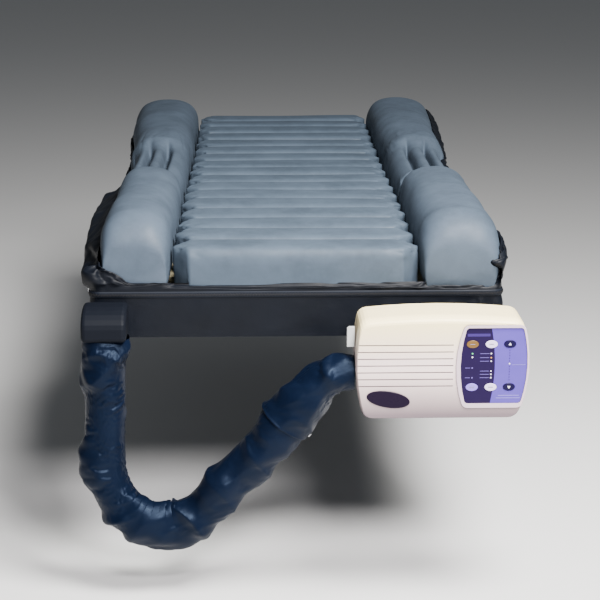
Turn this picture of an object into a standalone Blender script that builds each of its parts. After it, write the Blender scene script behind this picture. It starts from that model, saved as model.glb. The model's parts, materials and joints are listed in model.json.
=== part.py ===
"""Pressure relief mattress: transverse air cells between raised side bolsters, on a foam base in a fabric
tub, with its air pump and the fabric-sleeved hose between them. Metres, +Z up, +X to the left when lying on
the back, +Y towards the head end. The origin is the centre of the underside.
"""

import math

import bmesh
import bpy
from mathutils import Vector
from mathutils.geometry import interpolate_bezier

# Mattress
LENGTH = 2.030
WIDTH = 0.914
HALF_LENGTH = LENGTH / 2
HALF_WIDTH = WIDTH / 2
GAP = 0.0003
TUB_WALL = 0.003
TUB_FLOOR = 0.002
TUB_HEIGHT = 0.115
END_ROOM = 0.005
FOAM_TOP = 0.072
FOAM_SIDE_ROOM = 0.004
FOAM_FOOT_ROOM = 0.030

# Air cells, numbered from the head end
CELL_COUNT = 17
BACK_CELLS = 7
CELL_PITCH = (LENGTH - 2 * END_ROOM) / CELL_COUNT
CELL_SPACING = 0.0016
CELL_BOTTOM = FOAM_TOP + 0.0035
CELL_TOP = 0.200
CELL_HALF_LENGTH = 0.272
CELL_SQUARENESS = 0.55

# Side bolsters: head length, low egress length and foot length on each side
BOLSTER_INNER = 0.276
BOLSTER_OUTER = HALF_WIDTH - TUB_WALL - 0.0015
BOLSTER_BOTTOM = CELL_BOTTOM
BOLSTER_TOP = 0.272
EGRESS_TOP = 0.262
EGRESS_HEAD_Y = 0.112
EGRESS_FOOT_Y = -0.340
BOLSTER_SPACING = 0.004

# The back section folds up about a line on the underside, between cells 8 and 9
FOLD_Y = HALF_LENGTH - END_ROOM - (BACK_CELLS + 1) * CELL_PITCH
FOLD_HALF_ANGLE = math.radians(30)
FOLD_ROOM = 0.003

# Twin air line in a channel along the left of the foam
LINE_X = -0.250
LINE_RADIUS = 0.007
LINE_SPREAD = 0.0055
CHANNEL_WIDTH = 0.030
CHANNEL_DEPTH = 0.018
LINE_Z = FOAM_TOP - CHANNEL_DEPTH / 2
LINE_FOLD_ROOM = 0.050
MANIFOLD_DEPTH = 0.022
MANIFOLD_HEIGHT = 0.026

# Zip halves round the tub, the slider's place, and the quick-deflate valve
ZIP_TAPE = 0.0018
ZIP_LOW = 0.090
ZIP_HIGH = 0.104
ZIP_START_Y = -0.960
CPR_Y = 0.800
CPR_Z = 0.045

# Hose: a limp fabric sleeve around the air tubes
SLEEVE_DIAMETER = 0.098
SLEEVE_STEP = 0.035
ELBOW_X = -0.418
ELBOW_WIDTH = 0.098
ELBOW_DEPTH = 0.098
ELBOW_TOP = 0.084
ELBOW_MOUTH_Z = 0.014

CONNECTOR_FACE_X = 0.1213
SPIGOT_RADIUS = 0.0170
SOCKET_RADIUS = 0.0180
LEVER_Y = -1.150

# Pump
PUMP_X = 0.307
PUMP_HALF_WIDTH = 0.185
PUMP_BOTTOM = -0.134
PUMP_SHOULDER = 0.083
PUMP_CORNERS = (
    (0.1375, PUMP_BOTTOM),
    (0.4650, PUMP_BOTTOM),
    (0.4745, PUMP_SHOULDER),
    (0.1300, PUMP_SHOULDER),
)
PUMP_BOWS = (0.0, 0.0215, 0.009, 0.0125)
PUMP_CORNER = 0.018
PUMP_BACK_Y = -1.075
PUMP_SPLIT_Y = -1.105
PUMP_FRONT_Y = -1.200
FRONT_ROUND = 0.026
FRONT_SIDE_INSET = 0.004
FRONT_TOP_INSET = 0.014
FRONT_BOTTOM_INSET = 0.005
BACK_ROUND = 0.008
SHELL_WALL = 0.0025
FRONT_WALL = 0.005
GROOVE_COUNT = 7
GROOVE_TOP_Z = 0.0305
GROOVE_PITCH = 0.0150
GROOVE_HEIGHT = 0.0022
GROOVE_DEPTH = 0.0020
GROOVE_END_X = 0.327

# Control panel
POCKET_DEPTH = 0.0025
BEZEL_CORNERS = ((0.3480, -0.1080), (0.4735, -0.1080), (0.4775, 0.0735), (0.3500, 0.0735))
BEZEL_BOWS = (0.0, 0.0125, 0.0, 0.0165)
PANEL_CORNERS = ((0.3530, -0.0980), (0.4705, -0.0980), (0.4740, 0.0675), (0.3547, 0.0675))
PANEL_BOWS = (0.0, 0.0115, 0.0, 0.0115)
BEZEL_PROUD = 0.0025
BUTTON_COLUMNS = (0.367, 0.407, 0.446)
BUTTON_ROWS = (0.032, -0.0625)
BUTTON_HALF_WIDTH = 0.0128
BUTTON_HALF_HEIGHT = 0.0084
BUTTON_PROUD = 0.0012
BUTTON_BACK = 0.0010
BUTTON_CLEARANCE = 0.0005
BUTTON_NAMES = (
    "button_power",
    "button_mode",
    "button_up",
    "button_lock",
    "button_silence",
    "button_down",
)

# Badge
BADGE_X = 0.190
BADGE_Z = -0.0885

# Pump's back: hooks, inlet, switch and bumpers
HOOK_OFFSET_X = 0.100
HOOK_TOP_Z = 0.060
HOOK_DROP = 0.050
HOOK_THICKNESS = 0.006
HOOK_WIDTH = 0.012
HOOK_PIVOT_Y = PUMP_BACK_Y + 0.0105
HOOK_REACH = 0.042
INLET_X = 0.425
INLET_Z = -0.090
SWITCH_X = 0.380
SWITCH_HALF_WIDTH = 0.0100
SWITCH_HALF_HEIGHT = 0.0125


def clear_scene():
    for obj in list(bpy.data.objects):
        bpy.data.objects.remove(obj, do_unlink=True)


def make_material(name, colour, roughness, metallic=0.0):
    material = bpy.data.materials.new(name)
    material.use_nodes = True
    shader = material.node_tree.nodes["Principled BSDF"]
    shader.inputs["Base Color"].default_value = (*colour, 1.0)
    shader.inputs["Roughness"].default_value = roughness
    shader.inputs["Metallic"].default_value = metallic
    return material


def finish_object(name, bm, material, smooth=False):
    """Turns a closed bmesh into a named object with its faces pointing out."""
    bmesh.ops.recalc_face_normals(bm, faces=bm.faces)
    mesh = bpy.data.meshes.new(name)
    bm.to_mesh(mesh)
    bm.free()
    if smooth:
        mesh.shade_smooth()
        mesh.set_sharp_from_angle(angle=math.radians(40))
    obj = bpy.data.objects.new(name, mesh)
    bpy.context.scene.collection.objects.link(obj)
    obj.data.materials.append(material)
    return obj


def add_loft(bm, rings):
    """Adds one closed body through rings of points, with a flat cap at each end."""
    loops = [[bm.verts.new(point) for point in ring] for ring in rings]
    count = len(loops[0])
    for near, far in zip(loops, loops[1:]):
        for i in range(count):
            j = (i + 1) % count
            bm.faces.new((near[i], near[j], far[j], far[i]))
    bm.faces.new(loops[0])
    bm.faces.new(reversed(loops[-1]))


def box_ring(low, high, z):
    return [(low[0], low[1], z), (high[0], low[1], z), (high[0], high[1], z), (low[0], high[1], z)]


def add_box(bm, low, high):
    add_loft(bm, [box_ring(low, high, low[2]), box_ring(low, high, high[2])])


def add_prism_x(bm, outline, low_x, high_x):
    """Adds a (y, z) outline extruded from low_x to high_x."""
    add_loft(bm, [[(x, y, z) for y, z in outline] for x in (low_x, high_x)])


def add_prism_y(bm, outline, low_y, high_y):
    """Adds an (x, z) outline extruded from low_y to high_y."""
    add_loft(bm, [[(x, y, z) for x, z in outline] for y in (low_y, high_y)])


def circle_ring(centre, axis, radius, sides):
    """A ring of points around a centre, in the plane across the axis (0 for X, 1 for Y, 2 for Z)."""
    ring = []
    for i in range(sides):
        angle = 2 * math.pi * i / sides
        point = [radius * math.cos(angle), radius * math.sin(angle)]
        point.insert(axis, 0.0)
        ring.append(tuple(Vector(centre) + Vector(point)))
    return ring


def add_turned(bm, centre, axis, profile, sides):
    """Adds a turned body: profile holds (distance along the axis, radius) steps from centre."""
    rings = []
    for distance, radius in profile:
        at = list(centre)
        at[axis] += distance
        rings.append(circle_ring(at, axis, radius, sides))
    add_loft(bm, rings)


def box_object(name, low, high, material):
    bm = bmesh.new()
    add_box(bm, low, high)
    return finish_object(name, bm, material)


def combine(obj, bm, name, operation):
    """Cuts a bmesh from an object, or joins it on, with an exact Boolean."""
    other = finish_object(name, bm, obj.data.materials[0])
    other.hide_render = True
    other.display_type = "WIRE"
    boolean = obj.modifiers.new(name, "BOOLEAN")
    boolean.operation = operation
    boolean.solver = "EXACT"
    boolean.object = other


def subtract(obj, bm, name):
    combine(obj, bm, name, "DIFFERENCE")


def unite(obj, bm, name):
    combine(obj, bm, name, "UNION")


def bevel_edges(obj, width, segments=2):
    bevel = obj.modifiers.new("soft_edges", "BEVEL")
    bevel.width = width
    bevel.segments = segments
    bevel.limit_method = "ANGLE"
    bevel.angle_limit = math.radians(40)


def superellipse(half_a, half_b, exponent, count):
    """Points of a rounded box outline about (0, 0)."""
    points = []
    for i in range(count):
        angle = 2 * math.pi * (i + 0.5) / count
        c, s = math.cos(angle), math.sin(angle)
        points.append(
            (
                half_a * math.copysign(abs(c) ** exponent, c),
                half_b * math.copysign(abs(s) ** exponent, s),
            )
        )
    return points


def bowed_outline(corners, bows, radius, steps=6, corner_steps=4):
    """An outline of four bowed sides with rounded corners. bows[i] is how far the side from corner i to the
    next stands out at its middle. The corners run anticlockwise."""
    outline = []
    sides = []
    for i, start in enumerate(corners):
        start, end = Vector(start), Vector(corners[(i + 1) % 4])
        out = Vector((end.y - start.y, start.x - end.x)).normalized()
        side = [
            start.lerp(end, k / steps) + out * bows[i] * 4 * (k / steps) * (1 - k / steps)
            for k in range(1, steps)
        ]
        sides.append(side)
    for i, corner in enumerate(corners):
        corner = Vector(corner)
        before, after = sides[i - 1][-1], sides[i][0]
        into = corner + (before - corner).normalized() * radius
        away = corner + (after - corner).normalized() * radius
        handle_in, handle_out = into.lerp(corner, 0.6), away.lerp(corner, 0.6)
        arc = interpolate_bezier(into, handle_in, handle_out, away, corner_steps + 1)
        outline += [(point.x, point.y) for point in arc]
        outline += [(point.x, point.y) for point in sides[i]]
    return outline


def fold_edge(height, side):
    """Y of the V-shaped relief at the fold, at a height: side is 1 on the back section, -1 on the seat."""
    return FOLD_Y + side * (FOLD_ROOM + height * math.tan(FOLD_HALF_ANGLE))


# ---- Mattress -------------------------------------------------------------------------------------------


def cell_centre_y(number):
    return HALF_LENGTH - END_ROOM - (number - 0.5) * CELL_PITCH


def make_cell(number, material):
    """One air cell: a rounded bar across the mattress with ends that narrow."""
    half_width = (CELL_PITCH - CELL_SPACING) / 2
    half_height = (CELL_TOP - CELL_BOTTOM) / 2
    middle = (CELL_TOP + CELL_BOTTOM) / 2
    stations = ((1.0, 0.45, 0.55), (0.93, 0.80, 0.80), (0.80, 1.0, 1.0))
    stations += tuple((-x, width, height) for x, width, height in reversed(stations))
    rings = []
    for along, width, height in stations:
        outline = superellipse(half_width * width, half_height * height, CELL_SQUARENESS, 16)
        lowered = middle - half_height * (1 - height)
        rings.append(
            [
                (along * CELL_HALF_LENGTH, cell_centre_y(number) + y, lowered + z)
                for y, z in outline
            ]
        )
    bm = bmesh.new()
    add_loft(bm, rings)
    finish_object(f"air_cell_{number:02d}", bm, material, smooth=True)


def make_bolster(name, side, low_y, high_y, top, material):
    """One length of side bolster, side -1 for left and 1 for right."""
    middle_x = side * (BOLSTER_INNER + BOLSTER_OUTER) / 2
    half_x = (BOLSTER_OUTER - BOLSTER_INNER) / 2
    half_z = (top - BOLSTER_BOTTOM) / 2
    stations = ((0.0, 0.82), (0.02, 0.95), (0.06, 1.0))
    rings = []
    for end, direction in ((low_y, 1), (high_y, -1)):
        part = []
        for inward, scale in stations:
            outline = superellipse(half_x * scale, half_z * scale, 0.72, 20)
            lowered = BOLSTER_BOTTOM + half_z * scale
            part.append(
                [(middle_x + x, end + direction * inward, lowered + z) for x, z in outline]
            )
        rings += part if direction == 1 else part[::-1]
    bm = bmesh.new()
    add_loft(bm, rings)
    finish_object(name, bm, material, smooth=True)


def make_bolsters(material):
    for side, word in ((-1, "left"), (1, "right")):
        head_low = EGRESS_HEAD_Y + BOLSTER_SPACING
        foot_high = EGRESS_FOOT_Y - BOLSTER_SPACING
        end = HALF_LENGTH - END_ROOM
        make_bolster(f"bolster_head_{word}", side, head_low, end, BOLSTER_TOP, material)
        make_bolster(f"egress_{word}", side, EGRESS_FOOT_Y, EGRESS_HEAD_Y, EGRESS_TOP, material)
        make_bolster(f"bolster_foot_{word}", side, -end, foot_high, BOLSTER_TOP, material)


def make_tub(name, side, material):
    """The fabric tub's half: a floor, two side walls and an end wall, open at the fold."""
    end = side * HALF_LENGTH
    outline = [(end, 0.0), (fold_edge(0.0, side), 0.0)]
    outline += [(fold_edge(TUB_HEIGHT, side), TUB_HEIGHT), (end, TUB_HEIGHT)]
    bm = bmesh.new()
    add_prism_x(bm, outline, -HALF_WIDTH, HALF_WIDTH)
    tub = finish_object(name, bm, material)
    past_fold = FOLD_Y - side * 0.05
    inside = end - side * TUB_WALL
    cutter = bmesh.new()
    inner = HALF_WIDTH - TUB_WALL
    low, high = sorted((past_fold, inside))
    add_box(cutter, (-inner, low, TUB_FLOOR), (inner, high, TUB_HEIGHT + 0.05))
    subtract(tub, cutter, f"{name}_inside")
    return tub


def make_foam(name, side, end_room, material):
    """The foam base's half, with a channel along the left for the air line."""
    end = side * (HALF_LENGTH - TUB_WALL - end_room)
    bottom = TUB_FLOOR + GAP
    outline = [(end, bottom), (fold_edge(bottom, side), bottom)]
    outline += [(fold_edge(FOAM_TOP, side), FOAM_TOP), (end, FOAM_TOP)]
    half = HALF_WIDTH - TUB_WALL - FOAM_SIDE_ROOM
    bm = bmesh.new()
    add_prism_x(bm, outline, -half, half)
    foam = finish_object(name, bm, material)
    cutter = bmesh.new()
    low = (LINE_X - CHANNEL_WIDTH / 2, -LENGTH, FOAM_TOP - CHANNEL_DEPTH)
    add_box(cutter, low, (LINE_X + CHANNEL_WIDTH / 2, LENGTH, FOAM_TOP + 0.01))
    subtract(foam, cutter, f"{name}_channel")


def make_air_line(name, low_y, high_y, material):
    """A length of twin air tubing: two round tubes side by side in one extrusion."""
    outline = []
    for i in range(16):
        angle = 2 * math.pi * (i + 0.5) / 16
        across = math.copysign(LINE_SPREAD, math.cos(angle)) + LINE_RADIUS * math.cos(angle)
        outline.append((LINE_X + across, LINE_Z + LINE_RADIUS * math.sin(angle)))
    bm = bmesh.new()
    add_prism_y(bm, outline, low_y, high_y)
    finish_object(name, bm, material, smooth=True)


def make_manifold(material):
    """The bar across the foot end that joins the air line to the hose."""
    high_y = -HALF_LENGTH + TUB_WALL + FOAM_FOOT_ROOM - 0.003
    top = LINE_Z + LINE_RADIUS
    low = (ELBOW_X - 0.020, high_y - MANIFOLD_DEPTH, top - MANIFOLD_HEIGHT)
    high = (LINE_X + 0.020, high_y, top)
    obj = box_object("air_manifold", low, high, material)
    bevel_edges(obj, 0.003, 2)


def make_zip_tape(name, side, material):
    """Half of the cover's zip, stitched round the outside of the tub's walls below their top."""
    inner_x = HALF_WIDTH + GAP
    outer_x = inner_x + ZIP_TAPE
    inner_y = HALF_LENGTH + GAP
    outer_y = inner_y + ZIP_TAPE
    fold_y = side * fold_edge(TUB_HEIGHT, side) + 0.004
    outline = [(-outer_x, fold_y), (-outer_x, outer_y), (outer_x, outer_y), (outer_x, fold_y)]
    outline += [(inner_x, fold_y), (inner_x, inner_y), (-inner_x, inner_y), (-inner_x, fold_y)]
    bm = bmesh.new()
    add_loft(bm, [[(x, side * y, z) for x, y in outline] for z in (ZIP_LOW, ZIP_HIGH)])
    finish_object(name, bm, material)


def make_zip_slider(material):
    """The slider on the left side's zip, with its pull hanging down."""
    outer = -HALF_WIDTH - GAP - ZIP_TAPE - GAP
    bm = bmesh.new()
    middle_z = (ZIP_LOW + ZIP_HIGH) / 2
    outline = [(-0.0070, -0.0045), (0.0070, -0.0060), (0.0070, 0.0060), (-0.0070, 0.0045)]
    points = [(ZIP_START_Y + y, middle_z + z) for y, z in outline]
    add_prism_x(bm, points, outer - 0.0030, outer)
    slider = finish_object("zip_slider", bm, material)
    bevel_edges(slider, 0.0006, 1)


def make_cpr_valve(flange_material, knob_material):
    """The quick-deflate valve near the head end, on the left wall: a flange and its turning knob."""
    wall = -HALF_WIDTH - GAP
    centre = (wall, CPR_Y, CPR_Z)
    bm = bmesh.new()
    add_turned(bm, centre, 0, [(0.0, 0.030), (-0.0020, 0.030), (-0.0035, 0.027)], 24)
    finish_object("cpr_flange", bm, flange_material, smooth=True)
    bm = bmesh.new()
    start = -0.0035 - GAP
    profile = [(start, 0.0220), (start - 0.0085, 0.0205), (start - 0.0100, 0.0190)]
    add_turned(bm, centre, 0, profile, 24)
    knob = finish_object("cpr_knob", bm, knob_material, smooth=True)
    grip = bmesh.new()
    for direction in (-1, 1):
        near, far = sorted((direction * 0.0045, direction * 0.0300))
        low = (wall - 0.03, CPR_Y - 0.03, CPR_Z + near)
        add_box(grip, low, (wall + start - 0.0045, CPR_Y + 0.03, CPR_Z + far))
    subtract(knob, grip, "cpr_knob_grip")


# ---- Hose -----------------------------------------------------------------------------------------------

# The sleeve's route, from the elbow's mouth at the foot end down in a U to the pump's left side.
# The first and the last step are straight, so that the ends meet their fittings squarely.
SLEEVE_ROUTE = (
    (ELBOW_X, -1.0652, 0.0137),
    (ELBOW_X, -1.0652, -0.0060),
    (-0.4200, -1.0670, -0.070),
    (-0.4210, -1.0710, -0.155),
    (-0.4190, -1.0760, -0.235),
    (-0.4040, -1.0820, -0.307),
    (-0.3640, -1.0880, -0.366),
    (-0.3050, -1.0920, -0.397),
    (-0.2400, -1.0950, -0.392),
    (-0.1770, -1.0980, -0.347),
    (-0.1110, -1.1020, -0.274),
    (-0.0580, -1.1080, -0.203),
    (-0.0040, -1.1160, -0.133),
    (0.0380, -1.1270, -0.082),
    (0.0760, -1.1350, -0.052),
    (0.0930, -1.1380, -0.047),
    (0.1050, -1.1380, -0.047),
)


def smooth_route(points, step):
    """Points about one step apart on a smooth curve through the route, straight along its two end steps."""
    points = [Vector(point) for point in points]
    inner = points[1:-1]
    spans = [(b - a).length for a, b in zip(inner, inner[1:])]
    tangents = [(inner[0] - points[0]).normalized()]
    for i in range(1, len(inner) - 1):
        before, after = inner[i] - inner[i - 1], inner[i + 1] - inner[i]
        weighted = before * spans[i] / spans[i - 1] + after * spans[i - 1] / spans[i]
        tangents.append(weighted.normalized())
    tangents.append((points[-1] - inner[-1]).normalized())
    route = points[:2]
    for i, span in enumerate(spans):
        count = max(1, round(span / step))
        start, end = inner[i], inner[i + 1]
        handles = start + tangents[i] * span / 3, end - tangents[i + 1] * span / 3
        route += interpolate_bezier(start, *handles, end, count + 1)[1:]
    return route + points[-1:]


def make_sleeve(material):
    curve = bpy.data.curves.new("hose_sleeve", "CURVE")
    curve.dimensions = "3D"
    curve.bevel_depth = SLEEVE_DIAMETER / 2
    curve.bevel_resolution = 3
    curve.use_fill_caps = True
    route = smooth_route(SLEEVE_ROUTE, SLEEVE_STEP)
    spline = curve.splines.new("POLY")
    spline.points.add(len(route) - 1)
    for point, at in zip(spline.points, route):
        point.co = (*at, 1.0)
    curve.materials.append(material)
    obj = bpy.data.objects.new("hose_sleeve", curve)
    bpy.context.scene.collection.objects.link(obj)


def make_elbow(material):
    """The outlet elbow on the foot wall: it turns the air tubes down into the sleeve."""
    back = -HALF_LENGTH - GAP - 0.0005
    front = back - ELBOW_DEPTH
    outline = [(back, ELBOW_MOUTH_Z), (back, ELBOW_TOP)]
    reach, rise = ELBOW_DEPTH - 0.030, ELBOW_TOP - 0.030 - ELBOW_MOUTH_Z
    for k in range(7):
        angle = math.pi / 2 * (1 - k / 6)
        y = front + reach * (1 - math.cos(angle))
        outline.append((y, ELBOW_MOUTH_Z + 0.030 + rise * math.sin(angle)))
    outline.append((front, ELBOW_MOUTH_Z))
    bm = bmesh.new()
    add_prism_x(bm, outline, ELBOW_X - ELBOW_WIDTH / 2, ELBOW_X + ELBOW_WIDTH / 2)
    elbow = finish_object("hose_elbow", bm, material)
    bevel_edges(elbow, 0.010, 3)


def make_connector(material):
    """The hose's end fitting: a flange against the pump's side and a spigot into its socket."""
    end_x, end_y, end_z = SLEEVE_ROUTE[-1]
    bm = bmesh.new()
    length = CONNECTOR_FACE_X - end_x - GAP
    profile = [(GAP, 0.030), (length, 0.030), (length, SPIGOT_RADIUS), (length + 0.020, SPIGOT_RADIUS)]
    add_turned(bm, (end_x, end_y, end_z), 0, profile, 24)
    finish_object("hose_connector", bm, material, smooth=True)


def make_release_lever(material):
    """The connector's release lever at the pump's left edge: a flat plate hinged at the casing."""
    bm = bmesh.new()
    outline = [(0.1040, 0.0150), (0.1203, 0.0150), (0.1203, 0.0590), (0.1085, 0.0590), (0.1040, 0.0560)]
    add_prism_y(bm, outline, LEVER_Y - 0.0045, LEVER_Y + 0.0045)
    lever = finish_object("hose_release_lever", bm, material)
    bevel_edges(lever, 0.0010, 2)


# ---- Pump -----------------------------------------------------------------------------------------------


def pump_outline():
    return bowed_outline(PUMP_CORNERS, PUMP_BOWS, PUMP_CORNER)


def pump_ring(y, side_inset, top_inset, bottom_inset):
    """The casing's outline at depth y, drawn in by the insets."""
    top = PUMP_SHOULDER + PUMP_BOWS[2]
    height = top - PUMP_BOTTOM
    scale_x = 1 - side_inset / PUMP_HALF_WIDTH
    scale_z = 1 - (top_inset + bottom_inset) / height
    return [
        (PUMP_X + (x - PUMP_X) * scale_x, y, PUMP_BOTTOM + bottom_inset + (z - PUMP_BOTTOM) * scale_z)
        for x, z in pump_outline()
    ]


def front_rings(wall, front_y):
    """Rings from the casing's split to its front face, rounded over, drawn in by the wall."""
    rings = [pump_ring(PUMP_SPLIT_Y - GAP, wall, wall, wall)]
    for k in range(6):
        angle = math.pi / 2 * k / 5
        depth = (FRONT_ROUND - (wall and FRONT_WALL)) * (1 - math.sin(angle))
        share = 1 - math.cos(angle)
        rings.append(
            pump_ring(
                front_y + depth,
                wall + FRONT_SIDE_INSET * share,
                wall + FRONT_TOP_INSET * share,
                wall + FRONT_BOTTOM_INSET * share,
            )
        )
    return rings


def make_front_housing(material):
    """The deep front shell, with grooves, a pocket for the panel and a socket for the hose."""
    outer = front_rings(0.0, PUMP_FRONT_Y)
    inner = front_rings(SHELL_WALL, PUMP_FRONT_Y + FRONT_WALL)
    bm = bmesh.new()
    add_loft(bm, inner[::-1] + outer)
    housing = finish_object("front_housing", bm, material, smooth=True)
    cutter = bmesh.new()
    for k in range(GROOVE_COUNT):
        z = GROOVE_TOP_Z - k * GROOVE_PITCH
        low = (PUMP_X - 0.25, PUMP_FRONT_Y - 0.01, z - GROOVE_HEIGHT / 2)
        add_box(cutter, low, (GROOVE_END_X, PUMP_FRONT_Y + GROOVE_DEPTH, z + GROOVE_HEIGHT / 2))
    subtract(housing, cutter, "grooves")
    cutter = bmesh.new()
    add_prism_y(cutter, bezel_outline(GAP), PUMP_FRONT_Y - 0.01, PUMP_FRONT_Y + POCKET_DEPTH)
    subtract(housing, cutter, "panel_pocket")
    cutter = bmesh.new()
    _, end_y, end_z = SLEEVE_ROUTE[-1]
    add_turned(cutter, (PUMP_X - 0.25, end_y, end_z), 0, [(0.0, SOCKET_RADIUS), (0.10, SOCKET_RADIUS)], 24)
    subtract(housing, cutter, "hose_socket")


def make_rear_housing(material):
    """The shallow rear shell, with openings for the inlet and the switch."""
    outer = [pump_ring(PUMP_SPLIT_Y + GAP, 0.0, 0.0, 0.0)]
    inner = [pump_ring(PUMP_SPLIT_Y + GAP, SHELL_WALL, SHELL_WALL, SHELL_WALL)]
    for k in range(4):
        angle = math.pi / 2 * k / 3
        inset = BACK_ROUND * (1 - math.cos(angle))
        depth = BACK_ROUND * (1 - math.sin(angle))
        outer.append(pump_ring(PUMP_BACK_Y - depth, inset, inset, inset))
        inset += SHELL_WALL
        inner.append(pump_ring(PUMP_BACK_Y - SHELL_WALL - depth, inset, inset, inset))
    bm = bmesh.new()
    add_loft(bm, inner[::-1] + outer)
    housing = finish_object("rear_housing", bm, material, smooth=True)
    cutter = bmesh.new()
    back = PUMP_BACK_Y + 0.01
    front = PUMP_BACK_Y - SHELL_WALL - 0.01
    for x, half_x, half_z in ((INLET_X, 0.0145, 0.0105), (SWITCH_X, SWITCH_HALF_WIDTH, SWITCH_HALF_HEIGHT)):
        add_box(cutter, (x - half_x, front, INLET_Z - half_z), (x + half_x, back, INLET_Z + half_z))
    subtract(housing, cutter, "inlet_and_switch_openings")


def bezel_outline(grow):
    """Outline of the raised rim round the control panel: its left side bows out like a barrel."""
    (left, low), (right, _), (top_right, high), (top_left, _) = BEZEL_CORNERS
    corners = [
        (left - grow, low - grow),
        (right + grow, low - grow),
        (top_right + grow, high + grow),
        (top_left - grow, high + grow),
    ]
    return bowed_outline(corners, BEZEL_BOWS, 0.010)


def panel_outline(grow):
    (left, low), (right, _), (top_right, high), (top_left, _) = PANEL_CORNERS
    corners = [
        (left - grow, low - grow),
        (right + grow, low - grow),
        (top_right + grow, high + grow),
        (top_left - grow, high + grow),
    ]
    return bowed_outline(corners, PANEL_BOWS, 0.006)


def make_bezel(material):
    back = PUMP_FRONT_Y + POCKET_DEPTH - GAP
    bm = bmesh.new()
    inner, outer = panel_outline(GAP), bezel_outline(0.0)
    soft = [(x + (0.0012 if x < PUMP_X + 0.1 else -0.0012), z) for x, z in outer]
    front = PUMP_FRONT_Y - BEZEL_PROUD
    rings = [
        [(x, back, z) for x, z in inner],
        [(x, back, z) for x, z in outer],
        [(x, front + 0.0010, z) for x, z in outer],
        [(x, front, z) for x, z in soft],
        [(x, front, z) for x, z in inner],
    ]
    loops = [[bm.verts.new(point) for point in ring] for ring in rings]
    count = len(inner)
    for near, far in zip(loops, loops[1:] + loops[:1]):
        for i in range(count):
            j = (i + 1) % count
            bm.faces.new((near[i], near[j], far[j], far[i]))
    finish_object("panel_bezel", bm, material, smooth=True)


def button_places():
    return [(x, z) for z in BUTTON_ROWS for x in BUTTON_COLUMNS]


def oval(x, z, grow, count=20):
    return [
        (
            x + (BUTTON_HALF_WIDTH + grow) * math.cos(2 * math.pi * i / count),
            z + (BUTTON_HALF_HEIGHT + grow) * math.sin(2 * math.pi * i / count),
        )
        for i in range(count)
    ]


def make_panel(material):
    bm = bmesh.new()
    add_prism_y(bm, panel_outline(0.0), PUMP_FRONT_Y, PUMP_FRONT_Y + POCKET_DEPTH - GAP)
    panel = finish_object("control_panel", bm, material)
    cutter = bmesh.new()
    for x, z in button_places():
        add_prism_y(cutter, oval(x, z, BUTTON_CLEARANCE), PUMP_FRONT_Y - 0.01, PUMP_FRONT_Y + 0.01)
    subtract(panel, cutter, "button_openings")


def make_buttons(materials):
    for name, (x, z), material in zip(BUTTON_NAMES, button_places(), materials):
        rings = []
        for y, grow in (
            (PUMP_FRONT_Y + BUTTON_BACK, 0.0),
            (PUMP_FRONT_Y - BUTTON_PROUD + 0.0005, 0.0),
            (PUMP_FRONT_Y - BUTTON_PROUD, -0.0008),
        ):
            rings.append([(px, y, pz) for px, pz in oval(x, z, grow)])
        bm = bmesh.new()
        add_loft(bm, rings)
        finish_object(name, bm, material, smooth=True)


def make_badge(material):
    """A blank oval plate, tilted down to the right."""
    tilt = math.radians(-9)
    rings = []
    for y, scale in ((-GAP, 1.0), (-GAP - 0.0008, 1.0), (-GAP - 0.0014, 0.96)):
        ring = []
        for i in range(32):
            angle = 2 * math.pi * i / 32
            across, up = 0.0465 * scale * math.cos(angle), 0.0180 * scale * math.sin(angle)
            x = BADGE_X + across * math.cos(tilt) - up * math.sin(tilt)
            z = BADGE_Z + across * math.sin(tilt) + up * math.cos(tilt)
            ring.append((x, PUMP_FRONT_Y + y, z))
        rings.append(ring)
    bm = bmesh.new()
    add_loft(bm, rings)
    finish_object("badge_plate", bm, material, smooth=True)


def make_pump_inside(motor_material, valve_material, board_material):
    low = (PUMP_X - 0.065, PUMP_BACK_Y - 0.105, PUMP_BOTTOM + 0.012)
    high = (PUMP_X + 0.045, PUMP_BACK_Y - 0.015, PUMP_BOTTOM + 0.095)
    compressor = box_object("compressor", low, high, motor_material)
    bevel_edges(compressor, 0.008, 2)
    bm = bmesh.new()
    profile = [(0.0, 0.030), (0.024, 0.030), (0.024, 0.018), (0.055, 0.018)]
    add_turned(bm, (PUMP_X - 0.120, PUMP_FRONT_Y + 0.030, -0.043), 1, profile, 20)
    finish_object("rotary_valve", bm, valve_material, smooth=True)
    back = PUMP_FRONT_Y + FRONT_WALL
    low, high = (0.350, back + 0.0015, -0.090), (0.470, back + 0.0031, 0.055)
    box_object("circuit_board", low, high, board_material)


def rectangle(x, y, z, half_x, half_z):
    return [
        (x - half_x, y, z - half_z),
        (x + half_x, y, z - half_z),
        (x + half_x, y, z + half_z),
        (x - half_x, y, z + half_z),
    ]


def make_inlet(material):
    """The mains inlet: a flanged socket open to the back, with its three contact pins."""
    face = PUMP_BACK_Y + 0.0030
    inner = PUMP_BACK_Y - 0.0180
    steps = (
        (inner - 0.0020, 0.0140, 0.0100),
        (PUMP_BACK_Y + GAP, 0.0140, 0.0100),
        (PUMP_BACK_Y + GAP, 0.0185, 0.0135),
        (face, 0.0185, 0.0135),
        (face, 0.0120, 0.0080),
        (inner, 0.0120, 0.0080),
    )
    bm = bmesh.new()
    add_loft(bm, [rectangle(INLET_X, y, INLET_Z, half_x, half_z) for y, half_x, half_z in steps])
    inlet = finish_object("power_inlet", bm, material)
    pins = bmesh.new()
    for x, z in ((-0.0070, -0.0020), (0.0, 0.0020), (0.0070, -0.0020)):
        low = (INLET_X + x - 0.0010, inner - 0.0010, INLET_Z + z - 0.0020)
        add_box(pins, low, (INLET_X + x + 0.0010, inner + 0.0085, INLET_Z + z + 0.0020))
    unite(inlet, pins, "contact_pins")


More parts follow.
